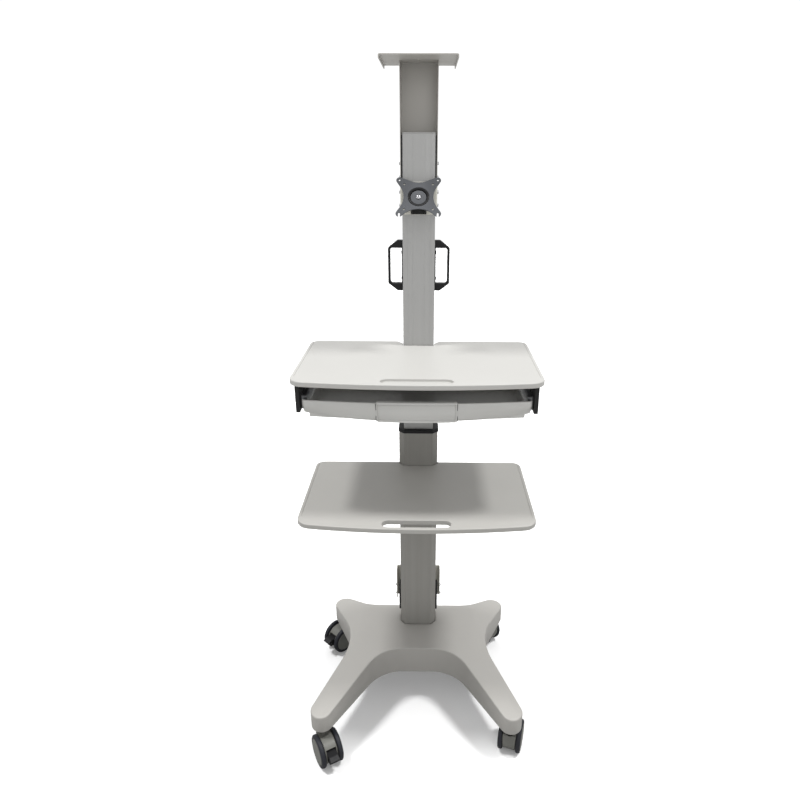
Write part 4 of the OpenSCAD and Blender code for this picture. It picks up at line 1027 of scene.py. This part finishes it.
# %% Top plate
x0, y0, z0, x1, y1, z1 = box_mm("top_plate")
TOP_SHEET = 2.6
fold = rounded([(x0, z0), (x0 + TOP_SHEET, z0), (x0 + TOP_SHEET, z1 - TOP_SHEET),
                (x1 - TOP_SHEET, z1 - TOP_SHEET), (x1 - TOP_SHEET, z0), (x1, z0), (x1, z1), (x0, z1)],
               [0.5, 0.5, 1.5, 1.5, 0.5, 0.5, 3.5, 3.5], 5)
lid = skin("top_fold", [[(x, y, z) for x, z in inset(fold, d)]
                        for y, d in ((y0, 0.35), (y0 + 0.35, 0), (y1 - 0.35, 0), (y1, 0.35))])
hole_y = (y0 + y1) / 2 - 12
drill = tool([[(x, y + hole_y, h) for x, y, h in r] for r in
              lathe_rings([(4, z1 - 6), (4, z1 - 0.6), (5.2, z1 + 0.6)], 32)])
piece(boolean(lid, [drill]), "top_plate", "mast_grey", sharp=35)

# %% Rear bracket and pads
x0, y0, z0, x1, y1, z1 = box_mm("rear_bracket")
fold = rounded([(x1, y1), (x0, y1), (x0, y0), (x0 + 3, y0), (x0 + 3, y1 - 3), (x1 - 3, y1 - 3), (x1 - 3, y0),
                (x1, y0)], [5, 5, 0.8, 0.8, 2, 2, 0.8, 0.8], 5)
piece(skin("rear_bracket_fold", slab_rings(fold, z0, z1, 0.5)), "rear_bracket", "mast_grey",
      "bracket_cream", sharp=35)
x0, y0, z0, x1, y1, z1 = box_mm("rear_pads")
stacks = []
for s in (-1, 1):
    pad = rounded([(y0, z0), (y1, z0), (y1, z1), (y0, z1)], 5)
    stacks.append([[(s * x, y, z) for y, z in inset(pad, d)]
                   for x, d in ((x1 - 6, 0.4), (x1 - 5, 0), (x1 - 1.5, 0), (x1 - 0.5, 0.5), (x1, 1.6))])
piece(skin("rear_rubber_pads", *stacks), "rear_pads", "black_plastic", sharp=35)
print("mast built")

# %% [markdown]
# ## Casters
# Each caster has two wheels, one on either side of a hood. A wheel is a rubber tread round a grey cap with
# a stepped rim, and the brake lever comes out of the hood's mouth. All four casters are the same, turned
# their own way, so one function builds a caster in its own frame and places it under a leg.

# %% Caster parts
SWIVELS = {"front_left": -60, "front_right": 73, "rear_left": 228, "rear_right": 135}
TRAIL, WHEEL_R, FORK_W = 32.0, 50.0, 40.0
TYRE = [(38, 0.4), (45, 0), (47.4, 0.5), (49, 1.6), (49.9, 3.6), (50, 5.5), (50, 8.5), (49.6, 11),
        (48.4, 12.9), (46.6, 14.2), (44.4, 14.8), (42, 15), (40.6, 14.6), (40, 13.6), (38.6, 13.6)]
CAP = [(4.2, 1), (38.8, 1), (38.8, 13.2), (38.6, 14.2), (38, 15), (36.8, 15.6), (35.6, 15.8),
       (35, 15.5), (34.2, 15.5), (24, 16.4), (12, 16.9), (0.01, 17)]


def side_rings(outline, y0, y1, r, steps=3):
    """Rings of a board that stands on edge: outline in X and Z, thickness along Y."""
    return [[(x, y, z) for x, z, y in ring] for ring in slab_rings(outline, y0, y1, r, steps)]


def hood_outline():
    crown = arc(TRAIL, WHEEL_R, 42, -30, 112, 23)
    return rounded([(-4, 24), (61, 24), *crown, (-15.2, 92), (-15.2, 50), (-10, 36)],
                   [5, 5] + [2] * len(crown) + [5, 5, 5], 3)


print("tread points", len(TYRE))

# %% Caster
def caster(corner, tip):
    at = Matrix.Translation((*tip, 0)) @ Matrix.Rotation(math.radians(SWIVELS[corner]), 4, "Z")
    hood = skin(f"hood_{corner}", placed(side_rings(hood_outline(), -FORK_W / 2, FORK_W / 2, 3.2, 4), at))
    post = [(13.2, 61), (13.8, 62), (13.8, 102.6), (13.2, 103.7), (12.4, 104)]
    boolean(hood, [tool(placed(lathe_rings(post, 48), at))], "UNION")
    mouth = tool(placed([[(x, y, z) for x, y in rounded(rect(46, 90, -16, 16), 3)] for z in (34, 78)], at))
    boolean(hood, [mouth])
    piece(hood, f"fork_{corner}", "caster_grey", sharp=35)
    print("hood faces", corner, len(hood.data.polygons))
    for side, letter in ((1, "a"), (-1, "b")):
        axle = at @ frame_at((TRAIL, side * (FORK_W / 2 + 0.8), WHEEL_R), (1, 0, 0), (0, side, 0))
        node = f"wheel_{corner}_{letter}"
        piece(skin(f"tread_{corner}_{letter}", placed(lathe_rings(TYRE, 96), axle), around=True, caps=False),
              node, "caster_tyre", sharp=40)
        piece(skin(f"wheel_cap_{corner}_{letter}", placed(lathe_rings(CAP, 72), axle)), node, "caster_tyre",
              "caster_grey", stands=False, sharp=35)
    lever = rounded([(52, 60), (58, 56.5), (75, 46.5), (88, 43), (90, 46), (82, 54), (88, 60), (99, 59.5),
                     (99, 63), (86, 70), (60, 68.5), (53, 66)], [3, 2, 4, 1.5, 1.5, 3, 3, 1, 1, 5, 3, 3], 4)
    piece(skin(f"brake_lever_{corner}", placed(side_rings(lever, -15, 15, 1.4), at)), f"pedal_{corner}",
          "black_plastic", sharp=40)


for corner, tip in zip(SWIVELS, TIPS):
    caster(corner, tip)
stems = []
for x, y in TIPS:
    for profile in ([(5.5, 74), (5.5, 105.5)], [(19.6, 105.2), (21, 106.4), (21, 119.2), (20.4, 119.8)]):
        stems.append([[(px + x, py + y, h) for px, py, h in r] for r in lathe_rings(profile, 40)])
piece(skin("caster_necks", *stems), "caster_stems", "caster_grey", sharp=35)
print("casters built")

# %% [markdown]
# ## Parts that keep their CAD shape
# The steel brackets, rails and the parts inside the columns already have the right shape. They get a
# finish, and a narrow bevel where their edges show, because a perfectly sharp edge never catches light.

# %% Finish the CAD parts
SLOT = {s["node"]: s["material_slot"] for s in frame["record"]["subparts"]}
BEVELLED = ("shelf_bracket", "worktop_bracket", "rail_bracket_left", "rail_bracket_right", "fixed_rails",
            "moving_rails", "base_plate", "column_foot", "rod_block")
WELD_GAP, BEVEL_W, BEVEL_FROM = 0.00002, 0.0005, 40
for node, obj in frame["nodes"].items():
    obj.data.materials.clear()
    obj.data.materials.append(finishes[SLOT[node]])
    if not obj.hide_render and node in BEVELLED:
        weld = obj.modifiers.new("weld", "WELD")
        weld.merge_threshold = WELD_GAP
        edge = obj.modifiers.new("edge", "BEVEL")
        edge.width, edge.segments, edge.limit_method = BEVEL_W, 2, "ANGLE"
        edge.angle_limit = math.radians(BEVEL_FROM)
print("CAD parts shown", sum(not o.hide_render for o in frame["nodes"].values()))

# %% [markdown]
# ## Studio
# The floor is a pale disc, wide enough to run out of view, under a soft even sky. Two soft lights
# shine down from either side, as rows of ceiling lamps do, so each board shades the middle of what is under
# it and leaves the sides bright. A weak light stands behind the camera. The floor looks white but throws
# less light back up than white paper would, which keeps the undersides and upright faces in their own shade.

# %% Floor
floor_mesh = bpy.data.meshes.new("floor")
FLOOR_R, FLOOR_Z, FLOOR_SIDES = 12, -0.0004, 96
floor_edge = [(math.cos(a) * FLOOR_R, math.sin(a) * FLOOR_R, FLOOR_Z)
              for a in np.linspace(0, 2 * math.pi, FLOOR_SIDES, endpoint=False)]
floor_mesh.from_pydata(floor_edge, [], [tuple(range(FLOOR_SIDES))])
floor = bpy.data.objects.new("floor", floor_mesh)
bpy.context.scene.collection.objects.link(floor)
floor_finish = bpy.data.materials.new("studio_floor")
floor_finish.use_nodes = True
floor_tree = floor_finish.node_tree
floor_shader = floor_tree.nodes["Principled BSDF"]
floor_shader.inputs["Specular IOR Level"].default_value = 0.1
paper = use(floor_tree, drift, Scale=0.7)
bright = blend_colour(floor_tree, paper.outputs["Mask"], (0.92, 0.92, 0.92), (0.94, 0.94, 0.94))
looked_at = add(floor_tree, "LightPath").outputs["Is Camera Ray"]
floor_tree.links.new(blend_colour(floor_tree, looked_at, (0.36, 0.36, 0.355), bright),
                     floor_shader.inputs["Base Color"])
rough = add(floor_tree, "MapRange", {0: paper.outputs["Mask"], 3: 0.75, 4: 0.85})
floor_tree.links.new(rough.outputs[0], floor_shader.inputs["Roughness"])
floor_mesh.materials.append(floor_finish)

# %% Lights
world = bpy.data.worlds.new("studio")
world.use_nodes = True
sky = world.node_tree.nodes["Background"]
sky.inputs["Color"].default_value = (1.0, 1.0, 1.0, 1)
seen = add(world.node_tree, "LightPath")
SKY_LIGHT, SKY_SEEN = 0.80, 1.05
LAMP_OUT, LAMP_FRONT, LAMP_POWER, LAMP_SPREAD = 0.384, -0.06, 1.85, 9
FILL_PLACE, FILL_POWER, FILL_SIZE = (0.9, -3.2, 2.6), 14, 1.8
strength = add(world.node_tree, "MapRange", {0: seen.outputs["Is Camera Ray"], 3: SKY_LIGHT, 4: SKY_SEEN})
world.node_tree.links.new(strength.outputs[0], sky.inputs["Strength"])
bpy.context.scene.world = world


def aimed(name, kind, place, target, power):
    data = bpy.data.lights.new(name, kind)
    data.energy = power
    light = bpy.data.objects.new(name, data)
    light.location = place
    light.rotation_euler = (Vector(target) - Vector(place)).to_track_quat("-Z", "Y").to_euler()
    bpy.context.scene.collection.objects.link(light)
    return data


for side in (-1, 1):
    lamp = aimed(f"ceiling_{'left' if side < 0 else 'right'}", "SUN", (side * LAMP_OUT, LAMP_FRONT, 4.0),
                 (0, 0, 3.0), LAMP_POWER)
    lamp.angle = math.radians(LAMP_SPREAD)
fill = aimed("front_fill", "AREA", FILL_PLACE, (0, 0, 0.9), FILL_POWER)
fill.size = FILL_SIZE
bpy.context.scene.view_settings.view_transform = "Standard"
print("sky light", SKY_LIGHT)
